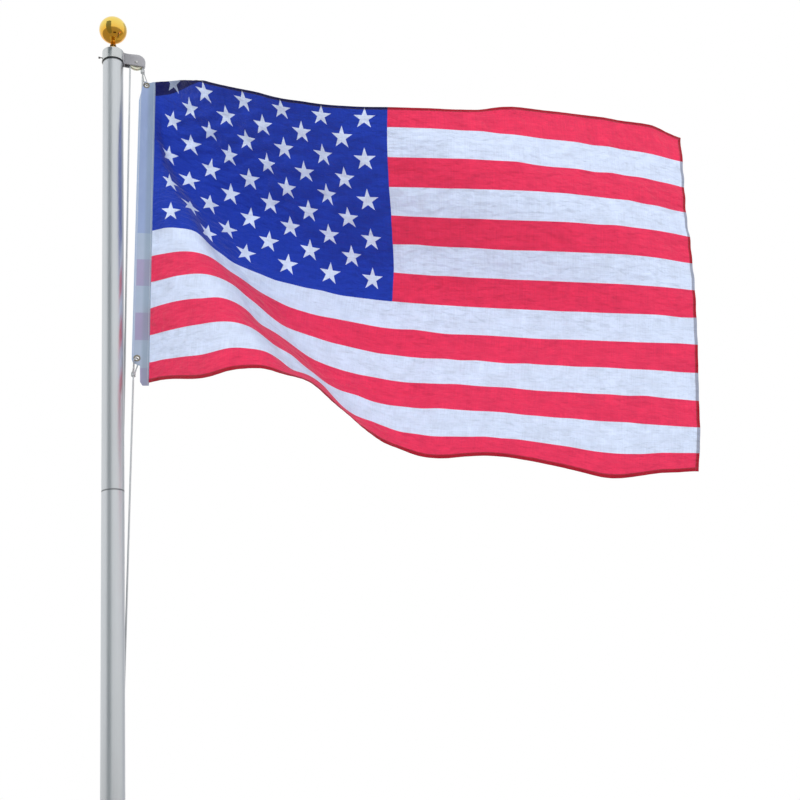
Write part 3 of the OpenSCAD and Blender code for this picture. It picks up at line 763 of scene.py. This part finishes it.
# ---------------------------------------------------------------------------
# Knots. The rope is doubled back through the hook's eye and seized on itself with
# barrel turns.
coil_r, strand_r = 0.0037, 0.0021
for name, at in (("knot_top", knot_top), ("knot_bottom", knot_bottom)):
    coil = np.linspace(0, 5 * pi, 91)
    climb = -0.0048 + 0.0096 * coil / coil[-1]
    barrel = np.stack([coil_r * np.cos(coil), coil_r * np.sin(coil), climb], -1) + at
    core = straight(at + np.array([0, 0, -0.0062]), at + np.array([0, 0, 0.0062]), 8)
    a = np.linspace(0, 2 * pi, 17)
    forward = np.gradient(barrel, axis=0)
    forward /= np.linalg.norm(forward, axis=1)[:, None]
    outward = (barrel - at) * np.array([1, 1, 0])
    outward /= np.linalg.norm(outward, axis=1)[:, None]
    upward = np.cross(forward, outward)
    grow = np.ones(len(barrel)) * strand_r
    grow[[0, -1]] = 0
    ring = (np.cos(a)[None, :, None] * outward[:, None] + np.sin(a)[None, :, None] * upward[:, None])
    ring = barrel[:, None] + grow[:, None, None] * ring
    lay = np.stack(np.broadcast_arrays((coil * coil_r)[:, None], a[None, :] / (2 * pi)), -1)
    piece(name + "_shown", [(ring, lay), rope(core, strand_r, 16)], braided, "flag", [name])

# ---------------------------------------------------------------------------
# Snap hooks. Cast pear-shaped hooks with an eye for the rope and a sprung wire gate,
# one side of each before the header and one behind.
hook_r, hook_len, eye_r, hook_wire = 0.009, 0.045, 0.0037, 0.0017
gate_foot, gate_top, hook_turn = 0.011, 0.0373, radians(52)
lean_top, lean_bottom = radians(13), radians(12)
snap_zinc, tree, shader = finish_of("snap_zinc", (0.6, 0.61, 0.62), 1.0, 0.24)
tarnish = grain(tree, 260, detail=4)
two_tone(tree, shader, tarnish, (0.33, 0.35, 0.36), (0.72, 0.73, 0.73))
uneven_gloss(tree, shader, tarnish, 0.3, 0.7, 0.18, 0.36)
relief(tree, shader, tarnish, 0.00008)


def hook_side(z):
    """How far the hook's side stands from its middle line at height z."""
    return hook_r + (eye_r - hook_r) * (z - hook_r) / (hook_len - hook_r)


down, eye_turn = np.linspace(0, -pi, 33), np.linspace(pi, 0, 21)
rise = np.linspace(0, 1, 14)[1:-1]
bill = [(hook_side(gate_foot), gate_foot), (hook_side(0.010), 0.010)]
hook_line = np.concatenate([bill, np.stack([hook_r * np.cos(down), hook_r + hook_r * np.sin(down)], -1),
                            np.stack([-hook_r + (hook_r - eye_r) * rise,
                                      hook_r + (hook_len - hook_r) * rise], -1),
                            np.stack([eye_r * np.cos(eye_turn), hook_len + eye_r * np.sin(eye_turn)], -1),
                            np.stack([hook_side(np.linspace(0.043, gate_top, 5)),
                                      np.linspace(0.043, gate_top, 5)], -1)])
hook_line = np.stack([hook_line[:, 0], 0 * hook_line[:, 0], hook_line[:, 1]], -1)
bar_line = straight((-hook_side(0.0405), 0, 0.0405), (hook_side(0.0405), 0, 0.0405), 7)
gate_line = straight((hook_side(gate_foot + rope_gap), 0, gate_foot + rope_gap),
                     (hook_side(gate_top - rope_gap), 0, gate_top - rope_gap), 12)


def hung(shell, place):
    """A shell or a shell with its pattern, turned and moved by a 4x4 placing."""
    turnings = np.array(place)
    move = lambda p: p @ turnings[:3, :3].T + turnings[:3, 3]
    return (move(shell[0]), shell[1]) if isinstance(shell, tuple) else move(shell)


grommet_top_at = knot_top + hook_len * np.array([sin(lean_top), 0, -cos(lean_top)])
grommet_bottom_at = knot_bottom + hook_len * np.array([sin(lean_bottom), 0, cos(lean_bottom)])
hangings = (("top", grommet_top_at, -lean_top, hook_turn),
            ("bottom", grommet_bottom_at, pi + lean_bottom, -hook_turn))
for name, at, tip, turn_by in hangings:
    place = Matrix.Translation(at) @ Matrix.Rotation(tip, 4, "Y") @ Matrix.Rotation(turn_by, 4, "Z")
    piece("snap_hook_%s_shown" % name,
          [hung(rope(hook_line, hook_wire, 20), place), hung(rope(bar_line, 0.0013, 12), place)],
          snap_zinc, "flag", ["snap_hook_" + name])
    piece("snap_gate_%s_shown" % name, [hung(rope(gate_line, 0.00115, 12), place)], snap_zinc,
          "flag", ["snap_gate_" + name])

# ---------------------------------------------------------------------------
# Grommets. Two-part brass eyelets set through the header at its ends, their rims
# rolled over.
header_t = 0.0024
brass, tree, shader = finish_of("brass", (0.6, 0.5, 0.3), 1.0, 0.3)
dulled = grain(tree, 400, detail=4)
two_tone(tree, shader, dulled, (0.15, 0.14, 0.11), (0.42, 0.39, 0.31))
relief(tree, shader, dulled, 0.00006)
roll = np.linspace(0, pi, 11)
for name, at in (("grommet_top", grommet_top_at), ("grommet_bottom", grommet_bottom_at)):
    rim = np.stack([0.007 + 0.002 * np.cos(roll), header_t / 2 + 0.0001 + 0.0009 * np.sin(roll)], -1)
    ring = np.concatenate([rim, (rim * np.array([1, -1]))[::-1], rim[:1]])
    piece(name + "_shown", [turned(ring, 64, "y", tuple(at))], brass, "flag", [name])

# ---------------------------------------------------------------------------
# Header. White canvas tape folded over the hoist edge of the cloth and stitched down
# both sides. The print shows through it, and its corners are turned back at the hooks.
header_w, hoist, hem_take = 0.044, 0.950, 0.0208
stripe = (hoist + 2 * hem_take) / 13
print_white, print_red, print_blue = (0.72, 0.79, 0.92), (0.82, 0.05, 0.15), (0.017, 0.06, 0.5)
head_gap = 0.042


def luff(v):
    """Where the hoist edge stands from the pole's axis, v down the header."""
    return 0.071 - 0.027 * v


def red_stripes(tree, down):
    """One on the red stripes and none on the white, counted down the cloth from the head."""
    count = reckon(tree, "FLOOR", reckon(tree, "DIVIDE", reckon(tree, "ADD", down, hem_take), stripe))
    return reckon(tree, "COMPARE", reckon(tree, "FLOORED_MODULO", count, 2.0), 0.0, 0.3)


def stitch_row(tree, across, along, at, stitch=0.0032, width=0.0009):
    """A row of stitches: short dashes along the row, on a line at one distance across."""
    line = reckon(tree, "LESS_THAN", apart(tree, across, at), width / 2)
    dash = reckon(tree, "LESS_THAN", reckon(tree, "FRACT", reckon(tree, "DIVIDE", along, stitch)), 0.7)
    return reckon(tree, "MULTIPLY", line, dash)


canvas, tree, shader = finish_of("canvas", (0.5, 0.56, 0.68), 0, 0.85, Sheen_Weight=0.15)
across, down = ways(tree, "UV")[:2]
under_print = blended(tree, red_stripes(tree, down), (0.36, 0.43, 0.52), (0.3, 0.2, 0.36))
under_print = blended(tree, reckon(tree, "LESS_THAN", down, 7 * stripe - hem_take), under_print,
                      (0.2, 0.27, 0.5))
through = reckon(tree, "MULTIPLY", eased_step(tree, across, 0.0055, 0.0065), 0.55)
weft = reckon(tree, "SINE", reckon(tree, "MULTIPLY", down, 2 * pi / 0.0011))
warp = reckon(tree, "SINE", reckon(tree, "MULTIPLY", across, 2 * pi / 0.0011))
weave = reckon(tree, "MULTIPLY_ADD", reckon(tree, "MULTIPLY", weft, warp), 0.5, 0.5)
soft_shade = eased_step(tree, across, 0.020, 0.030, 0.0, 0.5)
cloth_white = blended(tree, grain(tree, 40, detail=5), (0.3, 0.39, 0.55), (0.38, 0.46, 0.62))
worked = blended(tree, soft_shade, blended(tree, through, cloth_white, under_print), (0.2, 0.27, 0.34))
rows = reckon(tree, "MAXIMUM", stitch_row(tree, across, down, 0.004), stitch_row(tree, across, down, 0.040))
two_tone(tree, shader, reckon(tree, "MULTIPLY", rows, 0.6), worked, (0.75, 0.78, 0.82))
crumpled = relief(tree, None, grain(tree, 120, (1, 1, 0.35), 3), 0.0012)
relief(tree, shader, reckon(tree, "SUBTRACT", reckon(tree, "MULTIPLY", weave, 0.3), rows), 0.0003, crumpled)

tabs_z = np.array([head_z, head_z - 0.018, head_z - 0.07 * header_len, head_z - 0.92 * header_len,
                   grommet_bottom_at[2] - 0.013,
                   grommet_bottom_at[2] - 0.020, foot_z + 0.010, foot_z])
tabs_x = np.array([luff(0) + 0.013, luff(0) + 0.008, luff(0.07), luff(0.92), grommet_bottom_at[0] - 0.010,
                   grommet_bottom_at[0] + 0.007, grommet_bottom_at[0] + 0.007, grommet_bottom_at[0] + 0.013])
v = np.unique(np.concatenate([np.linspace(0, 1, 181), (head_z - tabs_z) / header_len]))[:, None]
u = np.linspace(0, 1, 25)[None, :]
left = np.interp(-(head_z - v * header_len), -tabs_z, tabs_x)
right = luff(v) + header_w
edge_in = np.minimum(np.minimum(u, 1 - u) * 12, np.minimum(v, 1 - v) * 60)
half_t = header_t / 2 * np.clip(edge_in, 0.25, 1) ** 0.5 + 0 * u
canvas_x = left + (right - left) * u
still_ends = np.clip(np.minimum(v, 1 - v) * 12 - 0.6, 0, 1)
wave = 0.0009 * np.sin(2 * pi * v * 7 + 3 * u) * np.sin(pi * u) * still_ends
dip_top = 0.004 * np.sin(pi * np.clip(u * 1.1, 0, 1)) ** 2 * np.exp(-v * 60)
canvas_z = head_z - v * header_len - dip_top + 0 * u
face = lambda s: np.stack([canvas_x, wave + s * half_t, canvas_z], -1)
flat = np.stack([canvas_x - luff(v), head_gap + v * header_len + 0 * u], -1)
ring_of = lambda a: np.concatenate([a[0], a[1:, -1], a[-1, -2::-1], a[-2::-1, 0]])
rim_shell = np.stack([ring_of(face(-1)), ring_of(face(1))]), np.stack([ring_of(flat), ring_of(flat)])
header = piece("flag_header_shown", [(face(-1), flat), (face(1), flat), rim_shell], canvas, None,
               ["flag_header"], 60)
drill = np.array([(0, -0.01), (0.0058, -0.01), (0.0058, 0.01), (0, 0.01)])
bored = [turned(drill, 48, "y", tuple(at)) for at in (grommet_top_at, grommet_bottom_at)]
holes = piece("header_holes", bored, canvas, None, [])
punch = header.modifiers.new("punch", "BOOLEAN")
punch.operation, punch.object, punch.solver = "DIFFERENCE", holes, "EXACT"
punched = bpy.data.meshes.new_from_object(header.evaluated_get(bpy.context.evaluated_depsgraph_get()))
header.modifiers.clear()
header.data = punched
bpy.data.objects.remove(holes)
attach(header, "flag")

# ---------------------------------------------------------------------------
# Cloth. Printed polyester, hemmed at the head, the foot and the fly, let out by a
# light wind. It leans towards the front along the head, falls back in a slanting
# valley, and swells below it. The head's corner at the hoist is turned down behind.
run, cross_s = 1.536, 0.614


def soft_ramp(x, w):
    """None below 0 and x above it, with a bend of width w between."""
    return w * np.logaddexp(0, x / w)


def soft_min(a, b, w):
    """The smaller of two, with a bend of width w where they cross."""
    return -w * np.logaddexp(-a / w, -b / w)


def soft_max(a, b, w):
    """The larger of two, with a bend of width w where they cross."""
    return w * np.logaddexp(a / w, b / w)


def hung_out(s, t):
    """The cloth before it settles, s along the fly and t down the hoist: three lines down the cloth, at the
    hoist, over the canton's end and at the fly, joined straight, with the lean towards the front taken
    from the larger of an upper and a lower panel plus the swell below the valley."""
    v = t / hoist
    upper = soft_min(0.43 * s - 0.89 * t + 0.125, 0.345, 0.045)
    lower = 0.42 * soft_ramp(s - 0.73, 0.06) - 0.011 + 0.05 * v * v
    span = np.maximum(0.03, (t - 0.325) * 1.45)
    bulge = 0.265 * span * np.clip(np.sin(pi * np.clip(s / span, 0, 1) ** 0.68), 0, 1) ** 2.4
    leave = 1 - np.exp(-s / 0.06)
    curl = soft_ramp(s - 1.44, 0.02)
    y = curl * (0.23 * np.exp(-t / 0.95) + 0.09) - (soft_max(upper, lower, 0.021) + bulge) * leave
    at_hoist = np.stack([luff(v) + header_w, head_z - (t - head_gap) * 0.982], -1)
    at_canton = np.stack([0.594 - 0.019 * v + 0.054 * np.sin(pi * v) ** 3,
                          head_z - 0.268 - 0.669 * v - 0.08 / (1 + np.exp((0.54 - v) / 0.07))], -1)
    at_fly = np.stack([1.47 - 0.106 * v ** 2, head_z - 0.318 - 0.961 * v], -1)
    near, beyond = (s / cross_s)[..., None], ((s - cross_s) / (run - cross_s))[..., None]
    before_canton = at_hoist * (1 - near) + at_canton * near
    xz = np.where(near < 1, before_canton, at_canton * (1 - beyond) + at_fly * beyond)
    droop = (0.15 * np.exp(-t / 0.11) + 0.015) * leave * np.clip(1 - s / cross_s, 0, 1)
    return np.stack([xz[..., 0], y, xz[..., 1] - droop - 0.09 * curl], -1)


def settled(cloth, start, pull, rounds, stiff):
    """Lets the threads go back to the length they were woven at: neighbours along, down and on both
    diagonals are moved together or apart by their error, the whole grid at once and every second pair
    at a time, while a little stiffness evens bends out and a weak pull keeps the shape."""
    cloth = cloth.copy()
    free = np.ones(cloth.shape[:2] + (1,))
    free[0] = 0
    step_s, step_t = run / (cloth.shape[0] - 1), hoist / (cloth.shape[1] - 1)
    slanted = (step_s ** 2 + step_t ** 2) ** 0.5
    every = slice(None)
    for _ in range(rounds):
        for odd in (0, 1):
            here, beside = slice(odd, -1, 2), slice(odd + 1, None, 2)
            pairs = (((here, every), (beside, every), step_s, 0.9),
                     ((every, here), (every, beside), step_t, 0.9),
                     ((here, slice(0, -1)), (beside, slice(1, None)), slanted, 0.5),
                     ((here, slice(1, None)), (beside, slice(0, -1)), slanted, 0.5))
            for one, other, length, give in pairs:
                gap = cloth[other] - cloth[one]
                size = np.linalg.norm(gap, axis=-1, keepdims=True)
                fix = np.where(size > length, 1.0, give) * (size - length) / np.maximum(size, 1e-9) * gap
                total = free[one] + free[other] + 1e-9
                cloth[one] += fix * free[one] / total
                cloth[other] -= fix * free[other] / total
        for axis in (0, 1):
            a, b, c = (tuple([cut, every][::1 if axis == 0 else -1])
                       for cut in (slice(0, -2), slice(1, -1), slice(2, None)))
            bend = cloth[a] - 2 * cloth[b] + cloth[c]
            cloth[b] += stiff * 0.5 * bend * free[b]
            cloth[a] -= stiff * 0.25 * bend * free[a]
            cloth[c] -= stiff * 0.25 * bend * free[c]
        cloth += (start - cloth) * pull * free
    return cloth


def doubled(field):
    """Twice as many cells both ways: each new point is 9/16 of its two neighbours less 1/16 of the
    next two."""
    for _ in range(2):
        wide = np.concatenate([2 * field[:1] - field[1:2], field, 2 * field[-1:] - field[-2:-1]])
        fine = np.empty((2 * len(field) - 1,) + field.shape[1:])
        fine[::2] = field
        fine[1::2] = (9 * (wide[1:-2] + wide[2:-1]) - wide[:-3] - wide[3:]) / 16
        field = np.swapaxes(fine, 0, 1)
    return field


def calmed(field, rounds):
    """Each point inside goes a fifth of the way to the mean of its neighbours, along and then down."""
    field = field.copy()
    for _ in range(rounds):
        move = np.zeros_like(field)
        move[1:-1] += field[:-2] - 2 * field[1:-1] + field[2:]
        move[1:, 1:-1] += field[1:, :-2] - 2 * field[1:, 1:-1] + field[1:, 2:]
        field += 0.2 * move
    return field


def cells(along, down):
    """Distances along the fly and down the hoist at the corners of that many cells."""
    return np.meshgrid(np.linspace(0, run, along + 1), np.linspace(0, hoist, down + 1), indexing="ij")


start = hung_out(*cells(35, 22))
cloth = settled(start, start, 0.012, 300, 0.25)
cloth = calmed(settled(doubled(cloth), hung_out(*cells(70, 44)), 0.006, 160, 0.2), 6)
cloth = doubled(doubled(cloth))
s, t = cells(280, 176)


def hump(x, middle, width):
    """One at the middle, falling away on both sides over width."""
    return np.exp(-((x - middle) / width) ** 2)


# What settling evens out and the cloth keeps: gathers beside the hoist, a sharper valley,
# a head that stands up towards the fly, and a foot that waves.
held = 1 - hump(s, 0, 0.03)
cloth[..., 0] -= held * 0.013 * hump(s, 0.075, 0.06) * hump(t, 0.24, 0.13)
cloth[..., 1] += held * 0.014 * hump(t - 1.75 * s, 0.15, 0.05) * hump(s, 0, 0.3)
gathered = (0.008 * hump(s, 0.05, 0.05) * hump(t, 0.30, 0.07)
            - 0.012 * hump(s, 0.1, 0.1) * hump(t, 0.09, 0.07))
head_line = (0.041 / (1 + np.exp((0.99 - s) / 0.05))
             - 0.012 * hump(s, 1.54, 0.05) - 0.010 * hump(s, 0.6, 0.2))
foot_line = (0.012 * hump(s, 0.48, 0.05) - 0.018 * hump(s, 0.2, 0.09) - 0.012 * hump(s, 0.87, 0.07)
             + 0.012 * hump(s, 1.06, 0.07) - 0.021 * hump(s, 1.32, 0.09) + 0.018 * hump(s, 1.54, 0.08))
cloth[..., 2] += held * gathered + head_line * hump(t, 0, 0.04) + foot_line * hump(t, hoist, 0.07)
cloth[..., 0] -= 0.019 * hump(s, 0.66, 0.28) * hump(t, 0, 0.28)
cloth[..., 0] += hump(s, run, 0.1) * (0.020 * np.exp(-t / 0.1) + 0.007 * hump(t, hoist, 0.2))

dice = np.random.default_rng(11)


def rumple(along, down, levels):
    """Smooth noise over the cloth: dice on a coarse grid of cells, doubled until it is fine enough."""
    rough = dice.standard_normal((along + 1, down + 1))
    for _ in range(levels):
        rough = doubled(rough)
    return rough[:281, :177]


def normals_of(field):
    """Unit directions square to a grid of points, from the differences along its two ways."""
    square = np.cross(np.gradient(field, axis=0), np.gradient(field, axis=1))
    return square / np.maximum(np.linalg.norm(square, axis=-1, keepdims=True), 1e-12)


facing = normals_of(cloth)
creases = rumple(18, 11, 4) * 0.0042 * np.exp(-(s / 1.6) ** 2) + rumple(35, 22, 3) * 0.0018
slant = np.sin(2 * pi * (0.35 * s + t) / 0.052 + 1.6 * rumple(9, 6, 5)) * 0.0022
slant *= hump(t, 0.16 + 0.12 * s, 0.14)
slant *= np.exp(-(s / 0.75) ** 4)
pucker = np.sin(2 * pi * t / 0.019 + rumple(9, 11, 5)) * 0.0007
pucker *= np.exp(-s / 0.014)
pucker *= 1 - np.exp(-s / 0.004)
hem_wave = np.sin(2 * pi * s / 0.027 + rumple(18, 6, 5)) * 0.0002
hem_wave *= np.exp(-t / 0.015) + np.exp(-(hoist - t) / 0.015)
fly_wave = np.sin(2 * pi * t / 0.06) * 0.0016 * np.exp(-(run - s) / 0.05)
cloth += facing * ((creases + slant + hem_wave + fly_wave) * (1 - np.exp(-s / 0.03)) + pucker)[..., None]

# The corner above the fold line takes the place of its mirror image across that line, a little behind.
fold_s, fold_t = 0.185, head_gap
fold_way = np.array([fold_s, -fold_t]) / (fold_s ** 2 + fold_t ** 2) ** 0.5
away = np.array([fold_way[1], -fold_way[0]])
above = s * away[0] + (t - fold_t) * away[1]
away, above = (away, above) if above[0, 0] > 0 else (-away, -above)
on_line = np.abs(above) < 0.0029
mirror_s = np.clip(s - np.where(on_line, 1, 2) * above * away[0], 0, run)
mirror_t = np.clip(t - np.where(on_line, 1, 2) * above * away[1], 0, hoist)


def looked_up(field, s, t):
    """The field at distances s and t, between its four nearest points."""
    a, b = s / run * (field.shape[0] - 1), t / hoist * (field.shape[1] - 1)
    i, j = np.minimum(a.astype(int), field.shape[0] - 2), np.minimum(b.astype(int), field.shape[1] - 2)
    p, q = (a - i)[..., None], (b - j)[..., None]
    low = field[i, j] * (1 - p) + field[i + 1, j] * p
    high = field[i, j + 1] * (1 - p) + field[i + 1, j + 1] * p
    return low * (1 - q) + high * q


facing = normals_of(cloth)
back_way = np.where(facing[140, 88, 1] > 0, 1.0, -1.0)
behind_by = 0.0025 * (1 - np.exp(-np.maximum(above, 0) / 0.004)) * ~on_line
backwards = back_way * looked_up(facing, mirror_s, mirror_t)
flap = looked_up(cloth, mirror_s, mirror_t) + backwards * behind_by[..., None]
cloth = np.where((on_line | (above > 0))[..., None], flap, cloth)

edge = np.minimum(np.minimum(t, hoist - t), run - s)
thick = 0.0005 + 0.0011 * np.clip((0.010 - edge) / 0.002, 0, 1)
facing = normals_of(cloth)
sides = [cloth + facing * thick[..., None] / 2, cloth - facing * thick[..., None] / 2]
flat = np.stack([s, t], -1)
flat[on_line] -= (above[..., None] * away)[on_line]
rim_shell = np.stack([ring_of(sides[0]), ring_of(sides[1])]), np.stack([ring_of(flat), ring_of(flat)])

polyester = bpy.data.materials.new("polyester")
polyester.use_nodes = True
tree = polyester.node_tree
shader = tree.nodes["Principled BSDF"]
shader.inputs["Roughness"].default_value = 0.72
shader.inputs["Sheen Weight"].default_value = 0.15
shader.inputs["Specular IOR Level"].default_value = 0.3
along, down = ways(tree, "UV")[:2]
canton_w = 0.722
canton_h = 7 * stripe
printed_down = reckon(tree, "ADD", down, hem_take)
star_r, tip_turn, inner = 0.0310, 2 * pi / 5, cos(2 * pi / 5)


def star_rows(shift):
    """One inside the stars of a lattice six along and five down the canton, moved by shift cells.
    In each cell, r and the angle from the nearest point of the star are found, and r * cos(72
    degrees - angle) is less than R * cos(72 degrees) inside."""
    wide, high = canton_w / 6, canton_h / 5
    step_along = reckon(tree, "ADD", reckon(tree, "DIVIDE", along, wide), shift)
    step_down = reckon(tree, "ADD", reckon(tree, "DIVIDE", printed_down, high), shift)
    x = reckon(tree, "MULTIPLY", reckon(tree, "SUBTRACT", reckon(tree, "FRACT", step_along), 0.5), wide)
    y = reckon(tree, "MULTIPLY", reckon(tree, "SUBTRACT", 0.5, reckon(tree, "FRACT", step_down)), high)
    r = reckon(tree, "SQRT", reckon(tree, "ADD", reckon(tree, "MULTIPLY", x, x),
                                    reckon(tree, "MULTIPLY", y, y)))
    angle = reckon(tree, "ARCTAN2", x, y)
    folded = reckon(tree, "FLOORED_MODULO", reckon(tree, "ADD", angle, tip_turn / 2), tip_turn)
    folded = apart(tree, folded, tip_turn / 2)
    to_tip = reckon(tree, "COSINE", reckon(tree, "SUBTRACT", tip_turn, folded))
    inside = reckon(tree, "LESS_THAN", reckon(tree, "MULTIPLY", r, to_tip), star_r * inner)
    for step, count in ((step_along, 6), (step_down, 5)):
        inside = reckon(tree, "MULTIPLY", inside, reckon(tree, "GREATER_THAN", step, 2 * shift))
        inside = reckon(tree, "MULTIPLY", inside, reckon(tree, "LESS_THAN", step, float(count)))
    return inside


stars = reckon(tree, "MAXIMUM", star_rows(0.0), star_rows(0.5))
in_canton = reckon(tree, "MULTIPLY", reckon(tree, "LESS_THAN", along, canton_w),
                   reckon(tree, "LESS_THAN", printed_down, canton_h))
striped = blended(tree, red_stripes(tree, down), print_white, print_red)
printed = blended(tree, in_canton, striped, blended(tree, stars, print_blue, print_white))
slubs_along = grain(tree, 1.0, (14, 520, 1), 2, "UV")
slubs_down = grain(tree, 1.0, (520, 14, 1), 2, "UV")
dye = grain(tree, 32, detail=7)
slubs = reckon(tree, "ADD", *(reckon(tree, "MULTIPLY", way, 0.22) for way in (slubs_along, slubs_down)))
uneven = reckon(tree, "ADD", slubs, reckon(tree, "MULTIPLY_ADD", dye, 0.26, 0.65))
tinted = tree.nodes.new("ShaderNodeVectorMath")
tinted.operation = "SCALE"
tree.links.new(printed, tinted.inputs[0])
tree.links.new(uneven, tinted.inputs["Scale"])
hem_w = 0.010
hem_in = reckon(tree, "MINIMUM",
                reckon(tree, "MINIMUM", reckon(tree, "MULTIPLY", down, hem_w / 0.007),
                       reckon(tree, "SUBTRACT", hoist, down)),
                reckon(tree, "MULTIPLY", reckon(tree, "SUBTRACT", run, along), hem_w / 0.008))
hemmed = reckon(tree, "LESS_THAN", hem_in, hem_w)
parts = tree.nodes.new("ShaderNodeSeparateColor")
tree.links.new(printed, parts.inputs[0])
undyed = reckon(tree, "GREATER_THAN", parts.outputs["Green"], 0.4)


def painted_doubled_shade(colour, on_dye, on_white):
    """A painted shade for two layers: the colour darkens as if the light that passes were dyed twice, and
    white only greys.
    """
    product = tree.nodes.new("ShaderNodeVectorMath")
    product.operation = "MULTIPLY"
    tree.links.new(colour, product.inputs[0])
    tree.links.new(blended(tree, undyed, on_dye, on_white), product.inputs[1])
    return product.outputs[0]


# Painted shade on the hems, as for light through two layers of cloth.
coloured = blended(tree, reckon(tree, "MULTIPLY", hemmed, 0.9), tinted.outputs[0],
                   painted_doubled_shade(tinted.outputs[0], (0.5, 0.1, 0.12), (0.5, 0.5, 0.54)))
head_row = stitch_row(tree, down, along, 0.006)
foot_row = stitch_row(tree, down, along, hoist - 0.0088)
fly_row = stitch_row(tree, along, down, run - 0.007)
sewn = reckon(tree, "MAXIMUM", reckon(tree, "MAXIMUM", head_row, foot_row), fly_row)
coloured = blended(tree, reckon(tree, "MULTIPLY", sewn, 0.35), coloured, (0.4, 0.3, 0.36))
# Painted shade where the turned-down corner lies behind: the colour darkens as if twice the dye stopped the
# light.
corner_reach = 2 * fold_s * fold_t / (fold_s ** 2 + fold_t ** 2)
corner_s, corner_t = corner_reach * fold_t, corner_reach * fold_s
to_flap_edge = reckon(tree, "MULTIPLY_ADD", down, (fold_s - corner_s) / corner_t, along)
double = eased_step(tree, to_flap_edge, fold_s - 0.003, fold_s + 0.002, 1.0, 0.0)
coloured = blended(tree, double, coloured, painted_doubled_shade(coloured, (0.28, 0.14, 0.25), (0.62, 0.66, 0.74)))
tree.links.new(coloured, shader.inputs["Base Color"])
weft = reckon(tree, "SINE", reckon(tree, "MULTIPLY", down, 2 * pi / 0.0007))
warp = reckon(tree, "SINE", reckon(tree, "MULTIPLY", along, 2 * pi / 0.0007))
weave = reckon(tree, "MULTIPLY", reckon(tree, "MULTIPLY", weft, warp), 0.25)
threads = reckon(tree, "ADD", weave, reckon(tree, "ADD", slubs_along, slubs_down))
ruffled = relief(tree, None, grain(tree, 1.0, (30, 55, 1), 5, "UV"), 0.011)
woven = relief(tree, shader, reckon(tree, "SUBTRACT", threads, sewn), 0.00012, ruffled)
glowing = tree.nodes.new("ShaderNodeBsdfTranslucent")
tree.links.new(coloured, glowing.inputs["Color"])
tree.links.new(woven, glowing.inputs["Normal"])
thin = tree.nodes.new("ShaderNodeMixShader")
thin.inputs[0].default_value = 0.35
tree.links.new(shader.outputs[0], thin.inputs[1])
tree.links.new(glowing.outputs[0], thin.inputs[2])
tree.links.new(thin.outputs[0], tree.nodes["Material Output"].inputs["Surface"])

flag = piece("flag_cloth_shown", [(sides[0], flat), (sides[1], flat), rim_shell], polyester, "flag",
             ["flag_cloth"], 70)
